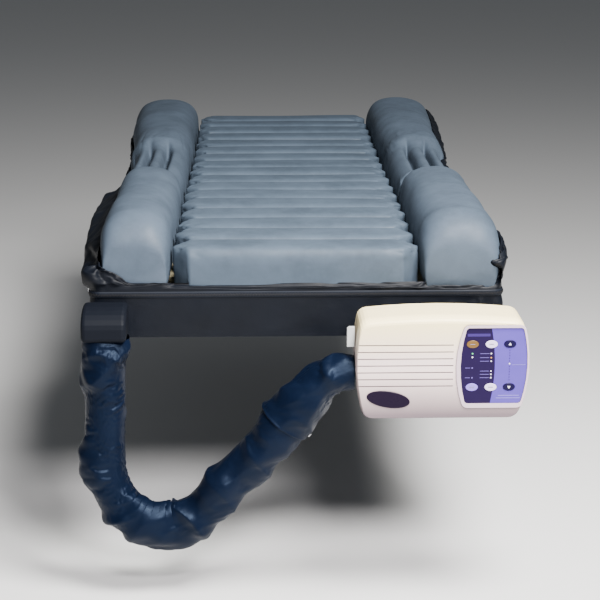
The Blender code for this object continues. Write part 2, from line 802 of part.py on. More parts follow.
def make_switch(material):
    """The rocker switch: a shallow V face, pivoted about X at the casing's back face."""
    bm = bmesh.new()
    half = SWITCH_HALF_HEIGHT - 0.0010
    y = PUMP_BACK_Y
    outline = [
        (y - 0.0050, INLET_Z - half * 0.75),
        (y - 0.0050, INLET_Z + half * 0.75),
        (y + 0.0005, INLET_Z + half),
        (y + 0.0032, INLET_Z + half),
        (y + 0.0016, INLET_Z),
        (y + 0.0010, INLET_Z - half),
    ]
    half_x = SWITCH_HALF_WIDTH - 0.0006
    add_prism_x(bm, outline, SWITCH_X - half_x, SWITCH_X + half_x)
    finish_object("power_switch", bm, material)


def make_hooks(hook_material, bracket_material):
    """Two swing-out hooks, each an upside-down U on a vertical pivot between two blocks of one bracket."""
    knuckles = bmesh.new()
    for side, word in ((-1, "left"), (1, "right")):
        x = PUMP_X + side * HOOK_OFFSET_X
        near, far = HOOK_PIVOT_Y - HOOK_THICKNESS / 2, HOOK_PIVOT_Y + HOOK_REACH
        low_z, drop_z = HOOK_TOP_Z - HOOK_DROP, HOOK_TOP_Z - HOOK_DROP * 0.8
        under = HOOK_TOP_Z - HOOK_THICKNESS
        outline = [(near, low_z), (near + HOOK_THICKNESS, low_z), (near + HOOK_THICKNESS, under)]
        outline += [(far - HOOK_THICKNESS, under), (far - HOOK_THICKNESS, drop_z), (far, drop_z)]
        outline += [(far, HOOK_TOP_Z - 0.004), (far - 0.004, HOOK_TOP_Z), (near, HOOK_TOP_Z)]
        bm = bmesh.new()
        add_prism_x(bm, outline, x - HOOK_WIDTH / 2, x + HOOK_WIDTH / 2)
        hook = finish_object(f"hook_{word}", bm, hook_material)
        bevel_edges(hook, 0.0010, 2)
        for low, high in ((low_z - 0.0104, low_z - 0.0004), (HOOK_TOP_Z + 0.0004, HOOK_TOP_Z + 0.0104)):
            front, back = PUMP_BACK_Y + 0.0010, HOOK_PIVOT_Y + HOOK_WIDTH / 2
            add_box(knuckles, (x - 0.009, front, low), (x + 0.009, back, high))
    half_x = HOOK_OFFSET_X + 0.016
    low = (PUMP_X - half_x, PUMP_BACK_Y + GAP, HOOK_TOP_Z - HOOK_DROP - 0.0140)
    high = (PUMP_X + half_x, PUMP_BACK_Y + 0.0025, HOOK_TOP_Z + 0.0140)
    bracket = box_object("hook_bracket", low, high, bracket_material)
    unite(bracket, knuckles, "hook_knuckles")


def make_bumper(material):
    """A rubber strip low on the pump's back, which rests against what the pump hangs on."""
    low = (PUMP_X - 0.150, PUMP_BACK_Y + GAP, PUMP_BOTTOM + 0.012)
    high = (PUMP_X - 0.010, PUMP_BACK_Y + 0.0060, PUMP_BOTTOM + 0.026)
    bumper = box_object("rear_bumper", low, high, material)
    bevel_edges(bumper, 0.0025, 2)


# ---- Assembly -------------------------------------------------------------------------------------------


def build_mattress():
    cell_fabric = make_material("blue_grey_nylon", (0.155, 0.205, 0.275), 0.45)
    bolster_fabric = make_material("bolster_nylon", (0.165, 0.215, 0.290), 0.45)
    tub_fabric = make_material("dark_navy_nylon", (0.012, 0.018, 0.032), 0.50)
    foam = make_material("cream_foam", (0.72, 0.68, 0.52), 0.95)
    vinyl = make_material("clear_grey_tubing", (0.55, 0.58, 0.60), 0.30)
    plastic = make_material("dark_fitting_plastic", (0.020, 0.022, 0.026), 0.40)
    zip_metal = make_material("zip_metal", (0.35, 0.35, 0.36), 0.35, 1.0)
    red = make_material("cpr_red", (0.55, 0.03, 0.02), 0.35)
    for number in range(1, CELL_COUNT + 1):
        make_cell(number, cell_fabric)
    make_bolsters(bolster_fabric)
    make_tub("tub_back", 1, tub_fabric)
    make_tub("tub_seat", -1, tub_fabric)
    make_foam("foam_back", 1, 0.003, foam)
    make_foam("foam_seat", -1, FOAM_FOOT_ROOM, foam)
    foot_end = -HALF_LENGTH + TUB_WALL + FOAM_FOOT_ROOM
    make_air_line("air_line_seat", foot_end - 0.0025, FOLD_Y - LINE_FOLD_ROOM, vinyl)
    make_air_line("air_line_back", FOLD_Y + LINE_FOLD_ROOM, HALF_LENGTH - 0.030, vinyl)
    bridge = LINE_FOLD_ROOM - GAP
    make_air_line("air_line_bridge", FOLD_Y - bridge, FOLD_Y + bridge, vinyl)
    make_manifold(plastic)
    make_zip_tape("zip_tape_seat", -1, tub_fabric)
    make_zip_tape("zip_tape_back", 1, tub_fabric)
    make_zip_slider(zip_metal)
    make_cpr_valve(plastic, red)


def build_hose():
    make_elbow(make_material("elbow_plastic", (0.030, 0.034, 0.042), 0.45))
    make_sleeve(make_material("navy_sleeve_nylon", (0.014, 0.040, 0.095), 0.35))
    make_connector(make_material("connector_plastic", (0.45, 0.46, 0.47), 0.40))
    make_release_lever(make_material("lever_plastic", (0.62, 0.64, 0.66), 0.35))


def build_pump():
    casing = make_material("warm_white_abs", (0.78, 0.72, 0.64), 0.35)
    bezel = make_material("pale_bezel", (0.80, 0.76, 0.76), 0.30)
    panel = make_material("indigo_panel", (0.022, 0.012, 0.16), 0.30)
    badge = make_material("dark_purple_badge", (0.018, 0.006, 0.035), 0.25)
    white = make_material("white_button", (0.85, 0.84, 0.88), 0.35)
    orange = make_material("orange_button", (0.62, 0.30, 0.05), 0.35)
    lavender = make_material("lavender_button", (0.36, 0.28, 0.72), 0.35)
    dark_blue = make_material("dark_blue_button", (0.02, 0.015, 0.12), 0.35)
    black = make_material("black_plastic", (0.015, 0.015, 0.016), 0.40)
    steel = make_material("hook_steel", (0.55, 0.56, 0.58), 0.30, 1.0)
    rubber = make_material("bumper_rubber", (0.02, 0.02, 0.02), 0.80)
    motor = make_material("motor_casting", (0.45, 0.46, 0.48), 0.50, 1.0)
    valve = make_material("valve_plastic", (0.75, 0.74, 0.70), 0.45)
    board = make_material("circuit_green", (0.02, 0.16, 0.06), 0.50)
    make_front_housing(casing)
    make_rear_housing(casing)
    make_bezel(bezel)
    make_panel(panel)
    make_buttons((orange, white, dark_blue, lavender, white, dark_blue))
    make_badge(badge)
    make_pump_inside(motor, valve, board)
    make_inlet(black)
    make_switch(black)
    make_hooks(steel, casing)
    make_bumper(rubber)


clear_scene()
build_mattress()
build_hose()
build_pump()
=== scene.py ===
"""Looks of the pressure relief mattress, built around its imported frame.

The soft goods replace their plain CAD solids: air cells, side bolsters, tub, zip, foam and hose sleeve. The
pump keeps its CAD solids, with finer materials and small printed and moulded details added.
"""

import itertools
import json
import math

import bpy
import numpy as np
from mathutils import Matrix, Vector, noise
from mathutils.bvhtree import BVHTree
from mathutils.geometry import interpolate_bezier


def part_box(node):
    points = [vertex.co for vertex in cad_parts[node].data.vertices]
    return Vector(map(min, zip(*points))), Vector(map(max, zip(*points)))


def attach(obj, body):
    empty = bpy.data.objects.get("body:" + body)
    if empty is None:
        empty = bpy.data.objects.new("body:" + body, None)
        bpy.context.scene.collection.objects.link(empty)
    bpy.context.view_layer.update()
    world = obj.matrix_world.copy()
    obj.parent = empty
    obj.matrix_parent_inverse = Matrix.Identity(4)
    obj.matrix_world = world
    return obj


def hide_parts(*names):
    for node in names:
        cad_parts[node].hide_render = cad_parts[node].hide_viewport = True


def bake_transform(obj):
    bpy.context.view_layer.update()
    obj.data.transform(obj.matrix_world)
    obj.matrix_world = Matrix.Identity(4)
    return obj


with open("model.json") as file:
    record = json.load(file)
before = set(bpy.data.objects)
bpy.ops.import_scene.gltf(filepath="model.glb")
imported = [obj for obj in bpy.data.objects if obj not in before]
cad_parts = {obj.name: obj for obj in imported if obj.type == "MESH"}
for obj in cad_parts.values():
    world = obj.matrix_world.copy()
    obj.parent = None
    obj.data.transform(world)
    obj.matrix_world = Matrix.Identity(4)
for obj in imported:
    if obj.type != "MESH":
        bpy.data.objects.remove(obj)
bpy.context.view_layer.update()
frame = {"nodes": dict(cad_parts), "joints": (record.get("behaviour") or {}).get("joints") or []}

# Names of the bodies
SEAT = "mattress"
BACK = "back_section"

# Sizes read from the frame, in metres
FOLD_Y = next(j["pos_m"][1] for j in frame["joints"] if j["name"] == "back_fold")
TUB_LOW, TUB_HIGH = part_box("tub_seat")
HEAD_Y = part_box("tub_back")[1].y
FOOT_Y = TUB_LOW.y
HALF_WIDTH = TUB_HIGH.x

# Mattress sizes
CELL_COUNT = 17
FIRST_FOLDING_CELL, LAST_FOLDING_CELL = 7, 10
CELL_WEDGE = 0.036
BOLSTER_BASE = 0.076
BOLSTER_INNER = 0.275
ZIP_LOW, ZIP_HIGH = 0.086, 0.108
TUB_LOOSENESS = 0.30
TUB_CORNER = 0.024
FLAT_BY_VALVE = 0.055
FLAT_BY_ELBOW = 0.065

# Place on the pump's panel where its two colours meet
PANEL_SPLIT_X = 0.4150

# Stage
FLOOR_Z = -0.565
STAGE_HALF = 40.0

# Camera, at the standing height and distance that the view needs
CAMERA_PLACE = (-0.0839, -4.5993, 1.0032)
CAMERA_PITCH = math.radians(14.39)
CAMERA_YAW = math.radians(1.46)
CAMERA_LENS = 100.9

# Hose route: the elbow's mouth, the hanging U and the pump's side
ELBOW_X = -0.418
SLEEVE_DIAMETER = 0.098
SLEEVE_LOOSENESS = 1.17
AIR_TUBES_RADIUS = 0.0400
HEM_FROM_PUMP = 0.205
# The rolled hem's section: how far back along the sleeve, and how far off it
HEM_ROLL = ((0.0030, 0.0006), (0.0000, 0.0008), (-0.0018, 0.0030), (0.0000, 0.0044), (0.0026, 0.0036))
# The snap's section: radius and height
SNAP_PROFILE = ((0.0050, 0.0015), (0.0050, 0.0032), (0.0042, 0.0040), (0.0020, 0.0040), (0.0012, 0.0031))
SLEEVE_ROUTE = (
    (ELBOW_X, -1.0652, 0.0137),
    (ELBOW_X, -1.0652, -0.0060),
    (-0.4200, -1.0670, -0.070),
    (-0.4225, -1.0710, -0.155),
    (-0.4240, -1.0760, -0.240),
    (-0.4190, -1.0820, -0.302),
    (-0.3880, -1.0880, -0.364),
    (-0.3330, -1.0920, -0.4025),
    (-0.2660, -1.0950, -0.4080),
    (-0.2060, -1.0980, -0.3700),
    (-0.1310, -1.1020, -0.2880),
    (-0.0580, -1.1080, -0.203),
    (-0.0040, -1.1160, -0.133),
    (0.0380, -1.1270, -0.082),
    (0.0760, -1.1350, -0.052),
    (0.0930, -1.1380, -0.047),
    (0.1050, -1.1380, -0.047),
)


# ---- Small tools ----


def smoothstep(low, high, value):
    t = np.clip((value - low) / (high - low), 0.0, 1.0)
    return t * t * (3 - 2 * t)


def bump_at(value, centre, width):
    """A bell of height 1 about the centre."""
    return np.exp(-(((value - centre) / width) ** 2))


def grid_object(name, points, wrap=False, caps=False):
    """A mesh from a grid of points [rows, columns, 3]. wrap joins the last column to the first, and caps
    closes the first and the last row with a fan."""
    rows, columns, _ = points.shape
    vertices = points.reshape(-1, 3)
    index = np.arange(rows * columns).reshape(rows, columns)
    right = np.roll(index, -1, axis=1) if wrap else index[:, 1:]
    left = index if wrap else index[:, :-1]
    quads = np.stack([left[:-1], right[:-1], right[1:], left[1:]], axis=-1).reshape(-1, 4)
    faces = quads.tolist()
    if caps:
        extra = np.stack([points[0].mean(axis=0), points[-1].mean(axis=0)])
        first, last = len(vertices), len(vertices) + 1
        vertices = np.concatenate([vertices, extra])
        for i in range(columns):
            j = (i + 1) % columns
            faces.append([first, int(index[0, j]), int(index[0, i])])
            faces.append([last, int(index[-1, i]), int(index[-1, j])])
    mesh = bpy.data.meshes.new(name)
    mesh.from_pydata(vertices.tolist(), [], faces)
    mesh.shade_smooth()
    mesh.update()
    obj = bpy.data.objects.new(name, mesh)
    bpy.context.scene.collection.objects.link(obj)
    return obj


def coordinates(obj):
    co = np.empty(len(obj.data.vertices) * 3)
    obj.data.vertices.foreach_get("co", co)
    return co.reshape(-1, 3)


def set_coordinates(obj, co):
    obj.data.vertices.foreach_set("co", co.ravel())
    obj.data.update()


def normals(obj):
    found = np.empty(len(obj.data.vertices) * 3)
    obj.data.vertices.foreach_get("normal", found)
    return found.reshape(-1, 3)


def fractal(points, scale, octaves=3, offset=(0.0, 0.0, 0.0)):
    """Fractal noise, about -1 to 1, at each point. scale is in cells per metre, in all or per axis."""
    stretched = points * np.array(scale) + np.array(offset)
    return np.array([noise.fractal(Vector(p), 1.0, 2.0, octaves) for p in stretched])


def ridges(points, scale, octaves=3, offset=(0.0, 0.0, 0.0)):
    """Noise with sharp ridges, 0 in the hollows to about 1 on the ridges."""
    stretched = points * np.array(scale) + np.array(offset)
    values = [noise.fractal(Vector(p), 1.0, 2.0, octaves) for p in stretched]
    return 1.0 - np.minimum(np.abs(np.array(values)) * 2.2, 1.0)


def folds(points, size, slant, seed):
    """Crisp fold lines over rounded hollows, about -1 to 0.5. They run at a slant from the level, as seen
    from the front, and size is their spacing in metres."""
    c, s = math.cos(slant), math.sin(slant)
    lengthways = points[:, 0] * c + points[:, 2] * s
    across = points[:, 2] * c - points[:, 0] * s
    turned = np.stack([lengthways * 0.42, points[:, 1] * 0.8, across], axis=1) / size
    values = np.array([noise.fractal(Vector(p + seed), 1.0, 2.0, 2) for p in turned])
    return 0.5 - 2.4 * np.abs(values)


def displace(obj, amount):
    """Moves each point along its normal by its amount, in metres."""
    set_coordinates(obj, coordinates(obj) + normals(obj) * amount[:, None])


def subdivide(obj, levels=1):
    """Adds a subdivision and applies it, so that the mesh is final."""
    modifier = obj.modifiers.new("subdivision", "SUBSURF")
    modifier.levels = modifier.render_levels = levels
    apply_modifiers(obj)


def apply_modifiers(obj):
    graph = bpy.context.evaluated_depsgraph_get()
    made = bpy.data.meshes.new_from_object(obj.evaluated_get(graph), depsgraph=graph)
    obj.modifiers.clear()
    old = obj.data
    obj.data = made
    bpy.data.meshes.remove(old)


def crease(obj, frames, growth, pins, gravity=1.0, bend=0.35, against=(), loose=None, cut=None):
    """Lets the fabric settle while its pins hold it, so that it finds its own creases, and keeps the result.
    pins and loose are one weight per point: 1 is held still, and 1 grows in full. cut is the fabric's own
    shape before it was put on, one place per point."""
    scene = bpy.context.scene
    for other in against:
        other.modifiers.new("wall", "COLLISION")
        other.collision.thickness_outer = 0.002
    held = obj.vertex_groups.new(name="held")
    for i in np.flatnonzero(pins > 0):
        held.add([int(i)], float(pins[i]), "REPLACE")
    cloth = obj.modifiers.new("cloth", "CLOTH")
    settings = cloth.settings
    settings.quality = 6
    settings.mass = 0.12
    settings.air_damping = 4.0
    settings.tension_stiffness = settings.compression_stiffness = 22.0
    settings.shear_stiffness = 9.0
    settings.bending_stiffness = bend
    settings.vertex_group_mass = "held"
    settings.pin_stiffness = 20.0
    settings.shrink_min = -growth
    if loose is not None:
        grows = obj.vertex_groups.new(name="grows")
        for i in np.flatnonzero(loose > 0):
            grows.add([int(i)], float(loose[i]), "REPLACE")
        settings.vertex_group_shrink = "grows"
        settings.shrink_min, settings.shrink_max = 0.0, -growth
    settings.effector_weights.gravity = gravity
    if cut is not None:
        obj.shape_key_add(name="worn")
        flat = obj.shape_key_add(name="cut")
        flat.data.foreach_set("co", cut.ravel())
        flat.value = 0.0
        settings.rest_shape_key = flat
    cloth.collision_settings.use_collision = bool(against)
    cloth.collision_settings.distance_min = 0.002
    cloth.collision_settings.use_self_collision = False
    cloth.point_cache.frame_start, cloth.point_cache.frame_end = 1, frames
    for frame_number in range(1, frames + 1):
        scene.frame_set(frame_number)
    settled = obj.evaluated_get(bpy.context.evaluated_depsgraph_get()).data
    co = np.empty(len(settled.vertices) * 3)
    settled.vertices.foreach_get("co", co)
    obj.modifiers.clear()
    obj.vertex_groups.clear()
    obj.shape_key_clear()
    for other in against:
        other.modifiers.clear()
    set_coordinates(obj, co.reshape(-1, 3))
    scene.frame_set(1)


def superellipse(angle, half_a, half_b, exponent):
    c, s = np.cos(angle), np.sin(angle)
    return half_a * np.sign(c) * np.abs(c) ** exponent, half_b * np.sign(s) * np.abs(s) ** exponent


def bend_over_fold(obj):
    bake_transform(obj)


# ---- Materials ----


class Nodes:
    """A short way to write a node tree."""

    def __init__(self, name):
        self.material = bpy.data.materials.new(name)
        self.material.use_nodes = True
        self.tree = self.material.node_tree
        self.shader = self.tree.nodes["Principled BSDF"]
        self.place = self.add("ShaderNodeTexCoord").outputs["Object"]

    def add(self, kind, **settings):
        node = self.tree.nodes.new(kind)
        for key, value in settings.items():
            setattr(node, key, value)
        return node

    def link(self, source, target):
        self.tree.links.new(source, target)

    def fill(self, socket, value):
        if isinstance(value, bpy.types.NodeSocket):
            self.link(value, socket)
        else:
            socket.default_value = value

    def noise(self, scale, detail=3.0, roughness=0.55, place=None):
        node = self.add("ShaderNodeTexNoise")
        self.link(place or self.place, node.inputs["Vector"])
        node.inputs["Scale"].default_value = scale
        node.inputs["Detail"].default_value = detail
        node.inputs["Roughness"].default_value = roughness
        return node.outputs["Fac"]

    def stretch(self, scale, rotation=(0.0, 0.0, 0.0)):
        node = self.add("ShaderNodeMapping")
        self.link(self.place, node.inputs["Vector"])
        node.inputs["Scale"].default_value = scale
        node.inputs["Rotation"].default_value = rotation
        return node.outputs["Vector"]

    def math(self, operation, a, b=0.0):
        node = self.add("ShaderNodeMath", operation=operation)
        self.fill(node.inputs[0], a)
        self.fill(node.inputs[1], b)
        return node.outputs[0]

    def scale_range(self, value, low, high, to_low, to_high):
        node = self.add("ShaderNodeMapRange")
        self.fill(node.inputs["Value"], value)
        for key, number in (("From Min", low), ("From Max", high), ("To Min", to_low), ("To Max", to_high)):
            node.inputs[key].default_value = number
        return node.outputs["Result"]

    def mix(self, share, first, second):
        node = self.add("ShaderNodeMix", data_type="RGBA")
        self.fill(node.inputs["Factor"], share)
        self.fill(node.inputs["A"], first)
        self.fill(node.inputs["B"], second)
        return node.outputs["Result"]

    def bump(self, height, strength, distance, below=None):
        node = self.add("ShaderNodeBump")
        node.inputs["Strength"].default_value = strength
        node.inputs["Distance"].default_value = distance
        self.link(height, node.inputs["Height"])
        if below:
            self.link(below, node.inputs["Normal"])
        return node.outputs["Normal"]

    def crease_shade_mask(self, reach):
        """1 on open surfaces, falling to 0 in grooves and along joints, where the materials paint shade
        darker.
        """
        node = self.add("ShaderNodeAmbientOcclusion", samples=8)
        node.inputs["Distance"].default_value = reach
        return self.scale_range(node.outputs["AO"], 0.45, 0.95, 0.0, 1.0)

    def coordinate(self, axis):
        node = self.add("ShaderNodeSeparateXYZ")
        self.link(self.place, node.inputs["Vector"])
        return node.outputs[axis]


def coloured(colour, factor=1.0):
    return tuple(channel * factor for channel in colour) + (1.0,)


def woven(name, colour, roughness, gloss, crumple, tint=(1.0, 1.0, 1.0), yarn=0.0009):
    """Coated nylon: a fine plain weave under a thin coating, with slight colour drift and small crumples."""
    n = Nodes(name)
    threads = []
    for axis in ("X", "Y", "Z"):
        angle = n.math("MULTIPLY", n.coordinate(axis), 2 * math.pi / yarn)
        threads.append(n.math("SINE", angle))
    weave = n.math("MULTIPLY", n.math("ADD", threads[0], threads[2]), threads[1])
    drift = n.scale_range(n.noise(7.0, 4.0), 0.35, 0.65, 0.0, 1.0)
    fade = n.scale_range(n.noise(38.0, 5.0, 0.65), 0.40, 0.62, 0.0, 1.0)
    tone = n.mix(drift, coloured(colour, 0.86), coloured(colour, 1.12))
    tone = n.mix(n.math("MULTIPLY", fade, 0.28), tone, coloured(colour, 1.38))
    speck = n.scale_range(weave, -1.0, 1.0, 0.0, 0.16)
    n.link(n.mix(speck, tone, coloured(colour, 0.55)), n.shader.inputs["Base Color"])
    shine = n.scale_range(n.noise(24.0, 4.0), 0.3, 0.7, roughness - 0.07, roughness + 0.09)
    n.link(shine, n.shader.inputs["Roughness"])
    n.shader.inputs["Specular IOR Level"].default_value = gloss
    n.shader.inputs["Specular Tint"].default_value = coloured(tint)
    wrinkles = n.noise(30.0, 6.0, 0.62)
    creases = n.noise(9.0, 5.0, 0.5, n.stretch((1.0, 0.55, 1.6), (0.3, 0.2, 0.5)))
    wide = n.bump(creases, crumple, 0.012)
    fine = n.bump(wrinkles, crumple * 0.8, 0.004, wide)
    n.link(n.bump(weave, 0.12, 0.00012, fine), n.shader.inputs["Normal"])
    return n.material


def moulded(name, colour, roughness, grain=0.10, drift=0.05, metallic=0.0, gloss=0.28):
    """Moulded plastic or plated metal: a fine grain with slight unevenness in tone and gloss, and painted
    shade that darkens its grooves and joints.
    """
    n = Nodes(name)
    uneven = n.scale_range(n.noise(11.0, 4.0), 0.3, 0.7, 0.0, 1.0)
    tone = n.mix(uneven, coloured(colour, 1 - drift), coloured(colour, 1 + drift * 0.6))
    # Painted shade: in grooves and along joints the colour falls to 0.3 of itself.
    n.link(n.mix(n.crease_shade_mask(0.004), coloured(colour, 0.3), tone), n.shader.inputs["Base Color"])
    shine = n.scale_range(n.noise(60.0, 4.0), 0.3, 0.7, roughness - 0.05, roughness + 0.06)
    n.link(shine, n.shader.inputs["Roughness"])
    n.shader.inputs["Specular IOR Level"].default_value = 0.5 if metallic else gloss
    n.shader.inputs["Metallic"].default_value = metallic
    n.link(n.bump(n.noise(1500.0, 2.0), grain, 0.0004), n.shader.inputs["Normal"])
    return n.material


def casing_material(name):
    """Warm ivory moulding, with painted light that makes its top brighter and yellower, painted shade that
    makes it darker and cooler towards the bottom, and painted shade in its grooves.
    """
    n = Nodes(name)
    low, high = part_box("front_housing")
    height = n.coordinate("Z")
    # Painted light: towards the top the colour goes brighter and yellower.
    upper = n.scale_range(height, high.z - 0.095, high.z - 0.020, 0.0, 1.0)
    # Painted shade: towards the bottom the colour goes much darker.
    lower = n.scale_range(height, low.z + 0.105, low.z + 0.010, 0.0, 1.0)
    uneven = n.scale_range(n.noise(9.0, 4.0), 0.3, 0.7, 0.0, 1.0)
    tone = n.mix(uneven, (0.72, 0.575, 0.555, 1.0), (0.78, 0.630, 0.600, 1.0))
    tone = n.mix(upper, tone, (0.95, 0.80, 0.45, 1.0))
    tone = n.mix(n.math("MULTIPLY", lower, 0.9), tone, (0.085, 0.060, 0.078, 1.0))
    # Painted shade in grooves and along joints, towards a dark mauve.
    n.link(n.mix(n.crease_shade_mask(0.006), (0.13, 0.10, 0.12, 1.0), tone), n.shader.inputs["Base Color"])
    n.link(n.scale_range(n.noise(60.0, 4.0), 0.3, 0.7, 0.30, 0.42), n.shader.inputs["Roughness"])
    n.shader.inputs["Specular IOR Level"].default_value = 0.3
    n.link(n.bump(n.noise(1500.0, 2.0), 0.10, 0.0004), n.shader.inputs["Normal"])
    return n.material


def foam_material(name, colour):
    n = Nodes(name)
    pores = n.noise(700.0, 3.0, 0.7)
    tone = n.mix(n.scale_range(pores, 0.35, 0.6, 0.0, 1.0), coloured(colour, 0.7), coloured(colour))
    n.link(tone, n.shader.inputs["Base Color"])
    n.shader.inputs["Roughness"].default_value = 0.95
    n.link(n.bump(pores, 0.5, 0.001), n.shader.inputs["Normal"])
    return n.material


def printed_panel(name):
    """The control panel's film: indigo on the left, lavender on the right, divided by a shallow curve."""
    n = Nodes(name)
    across, up = n.coordinate("X"), n.coordinate("Z")
    low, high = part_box("control_panel")
    middle_z, half_z = (low.z + high.z) / 2, (high.z - low.z) / 2
    height = n.math("DIVIDE", n.math("SUBTRACT", up, middle_z), half_z)
    bow = n.math("MULTIPLY", n.math("MULTIPLY", height, height), -0.0085)
    edge = n.math("ADD", bow, PANEL_SPLIT_X)
    share = n.scale_range(n.math("SUBTRACT", across, edge), -0.0004, 0.0004, 0.0, 1.0)
    drift = n.noise(30.0, 3.0)
    indigo = n.mix(drift, (0.0080, 0.0030, 0.026, 1.0), (0.0105, 0.0042, 0.034, 1.0))
    lavender = n.mix(drift, (0.072, 0.045, 0.290, 1.0), (0.092, 0.058, 0.340, 1.0))
    n.link(n.mix(share, indigo, lavender), n.shader.inputs["Base Color"])
    n.link(n.scale_range(n.noise(80.0, 3.0), 0.3, 0.7, 0.30, 0.38), n.shader.inputs["Roughness"])
    n.shader.inputs["Specular IOR Level"].default_value = 0.12
    n.link(n.bump(n.noise(900.0, 2.0), 0.05, 0.0003), n.shader.inputs["Normal"])
    return n.material


def set_material(obj, material):
    obj.data.materials.clear()
    obj.data.materials.append(material)


# ---- Camera, light and stage ----


def make_camera():
    camera = bpy.data.objects.new("camera", bpy.data.cameras.new("camera"))
    bpy.context.scene.collection.objects.link(camera)
    camera.location = CAMERA_PLACE
    camera.rotation_euler = (math.pi / 2 - CAMERA_PITCH, 0.0, -CAMERA_YAW)
    camera.data.lens = CAMERA_LENS
    camera.data.sensor_width = 36.0
    bpy.context.scene.camera = camera


def area_light(name, place, target, size, power, colour=(1.0, 1.0, 1.0)):
    light = bpy.data.lights.new(name, "AREA")
    light.shape = "RECTANGLE"
    light.size, light.size_y = size
    light.energy = power
    light.color = colour
    obj = bpy.data.objects.new(name, light)
    bpy.context.scene.collection.objects.link(obj)
    obj.location = place
    obj.rotation_euler = (Vector(target) - Vector(place)).to_track_quat("-Z", "Y").to_euler()


def make_stage():
    sides = (-STAGE_HALF, STAGE_HALF)
    floor = grid_object("stage_floor", np.array([[[x, y, FLOOR_Z] for x in sides] for y in sides]))
    n = Nodes("pale_floor")
    n.shader.inputs["Base Color"].default_value = (0.70, 0.70, 0.70, 1.0)
    n.shader.inputs["Roughness"].default_value = 0.9
    set_material(floor, n.material)
    world = bpy.data.worlds.new("studio")
    world.use_nodes = True
    world.node_tree.nodes["Background"].inputs["Color"].default_value = (0.90, 0.95, 1.0, 1.0)
    world.node_tree.nodes["Background"].inputs["Strength"].default_value = 0.12
    bpy.context.scene.world = world
    area_light("key_above", (0.8, -1.9, 2.2), (0.0, -0.7, 0.1), (1.0, 1.0), 270.0, (1.0, 0.985, 0.95))
    area_light("front_right", (0.9, -4.2, 2.5), (0.1, -1.1, -0.05), (1.2, 0.9), 400.0, (1.0, 0.97, 0.96))


# ---- Hose ----


def smooth_route(points, step):
    """Points about one step apart on a smooth curve through the route, straight along its end steps."""
    points = [Vector(point) for point in points]
    inner = points[1:-1]
    spans = [(b - a).length for a, b in zip(inner, inner[1:])]
    tangents = [(inner[0] - points[0]).normalized()]
    for i in range(1, len(inner) - 1):
        before, after = inner[i] - inner[i - 1], inner[i + 1] - inner[i]
        weighted = before * spans[i] / spans[i - 1] + after * spans[i - 1] / spans[i]
        tangents.append(weighted.normalized())
    tangents.append((points[-1] - inner[-1]).normalized())
    route = points[:2]
    for i, span in enumerate(spans):
        count = max(1, round(span / step))
        start, end = inner[i], inner[i + 1]
        handles = start + tangents[i] * span / 3, end - tangents[i + 1] * span / 3
        route += interpolate_bezier(start, *handles, end, count + 1)[1:]
    return route + points[-1:]


def resampled(points, step):
    """The same line with even steps."""
    points = np.array([tuple(p) for p in points])
    along = np.concatenate([[0.0], np.cumsum(np.linalg.norm(np.diff(points, axis=0), axis=1))])
    count = int(round(along[-1] / step)) + 1
    even = np.linspace(0.0, along[-1], count)
    return np.stack([np.interp(even, along, points[:, k]) for k in range(3)], axis=1), along[-1]


def tube_frames(centres):
    """Unit vectors across each centre, carried along the line without twist."""
    tangents = np.gradient(centres, axis=0)
    tangents /= np.linalg.norm(tangents, axis=1)[:, None]
    side = np.array([0.0, 1.0, 0.0])
    sides, ups = [], []
    for tangent in tangents:
        side = side - tangent * side.dot(tangent)
        side /= np.linalg.norm(side)
        sides.append(side.copy())
        ups.append(np.cross(tangent, side))
    return np.array(sides), np.array(ups)


def tube_points(centres, radius, around):
    """Rings round the centres. radius is one number, or one per ring."""
    sides, ups = tube_frames(centres)
    angle = np.linspace(0.0, 2 * math.pi, around, endpoint=False)
    ring = np.cos(angle)[None, :, None] * sides[:, None] + np.sin(angle)[None, :, None] * ups[:, None]
    return centres[:, None] + ring * np.broadcast_to(radius, len(centres))[:, None, None]


def keep_between(obj, centres, low, high):
    """Keeps every point of a tube between two distances from its centre line, softly at the far one."""
    co = coordinates(obj)
    gaps = np.linalg.norm(co[:, None, :] - centres[None, :, :], axis=2)
    nearest = gaps.argmin(axis=1)
    away = co - centres[nearest]
    distance = np.linalg.norm(away, axis=1)
    room = 0.008
    past = np.maximum(distance - (high - room), 0.0)
    wanted = np.where(past > 0, high - room + room * np.tanh(past / room), distance)
    wanted = np.maximum(wanted, low)
    set_coordinates(obj, centres[nearest] + away * (wanted / np.maximum(distance, 1e-6))[:, None])


def sharpen(points, amount, rounds=3):
    """Makes the folds of a grid [rows, columns, 3] crisper. The columns go all the way round."""
    soft = points.copy()
    for _ in range(rounds):
        rows = np.concatenate([soft[:1], soft, soft[-1:]])
        soft = (rows[:-2] + rows[2:] + np.roll(soft, 1, axis=1) + np.roll(soft, -1, axis=1)) / 4
    sharper = points + (points - soft) * amount
    sharper[:2], sharper[-2:] = points[:2], points[-2:]
    return sharper


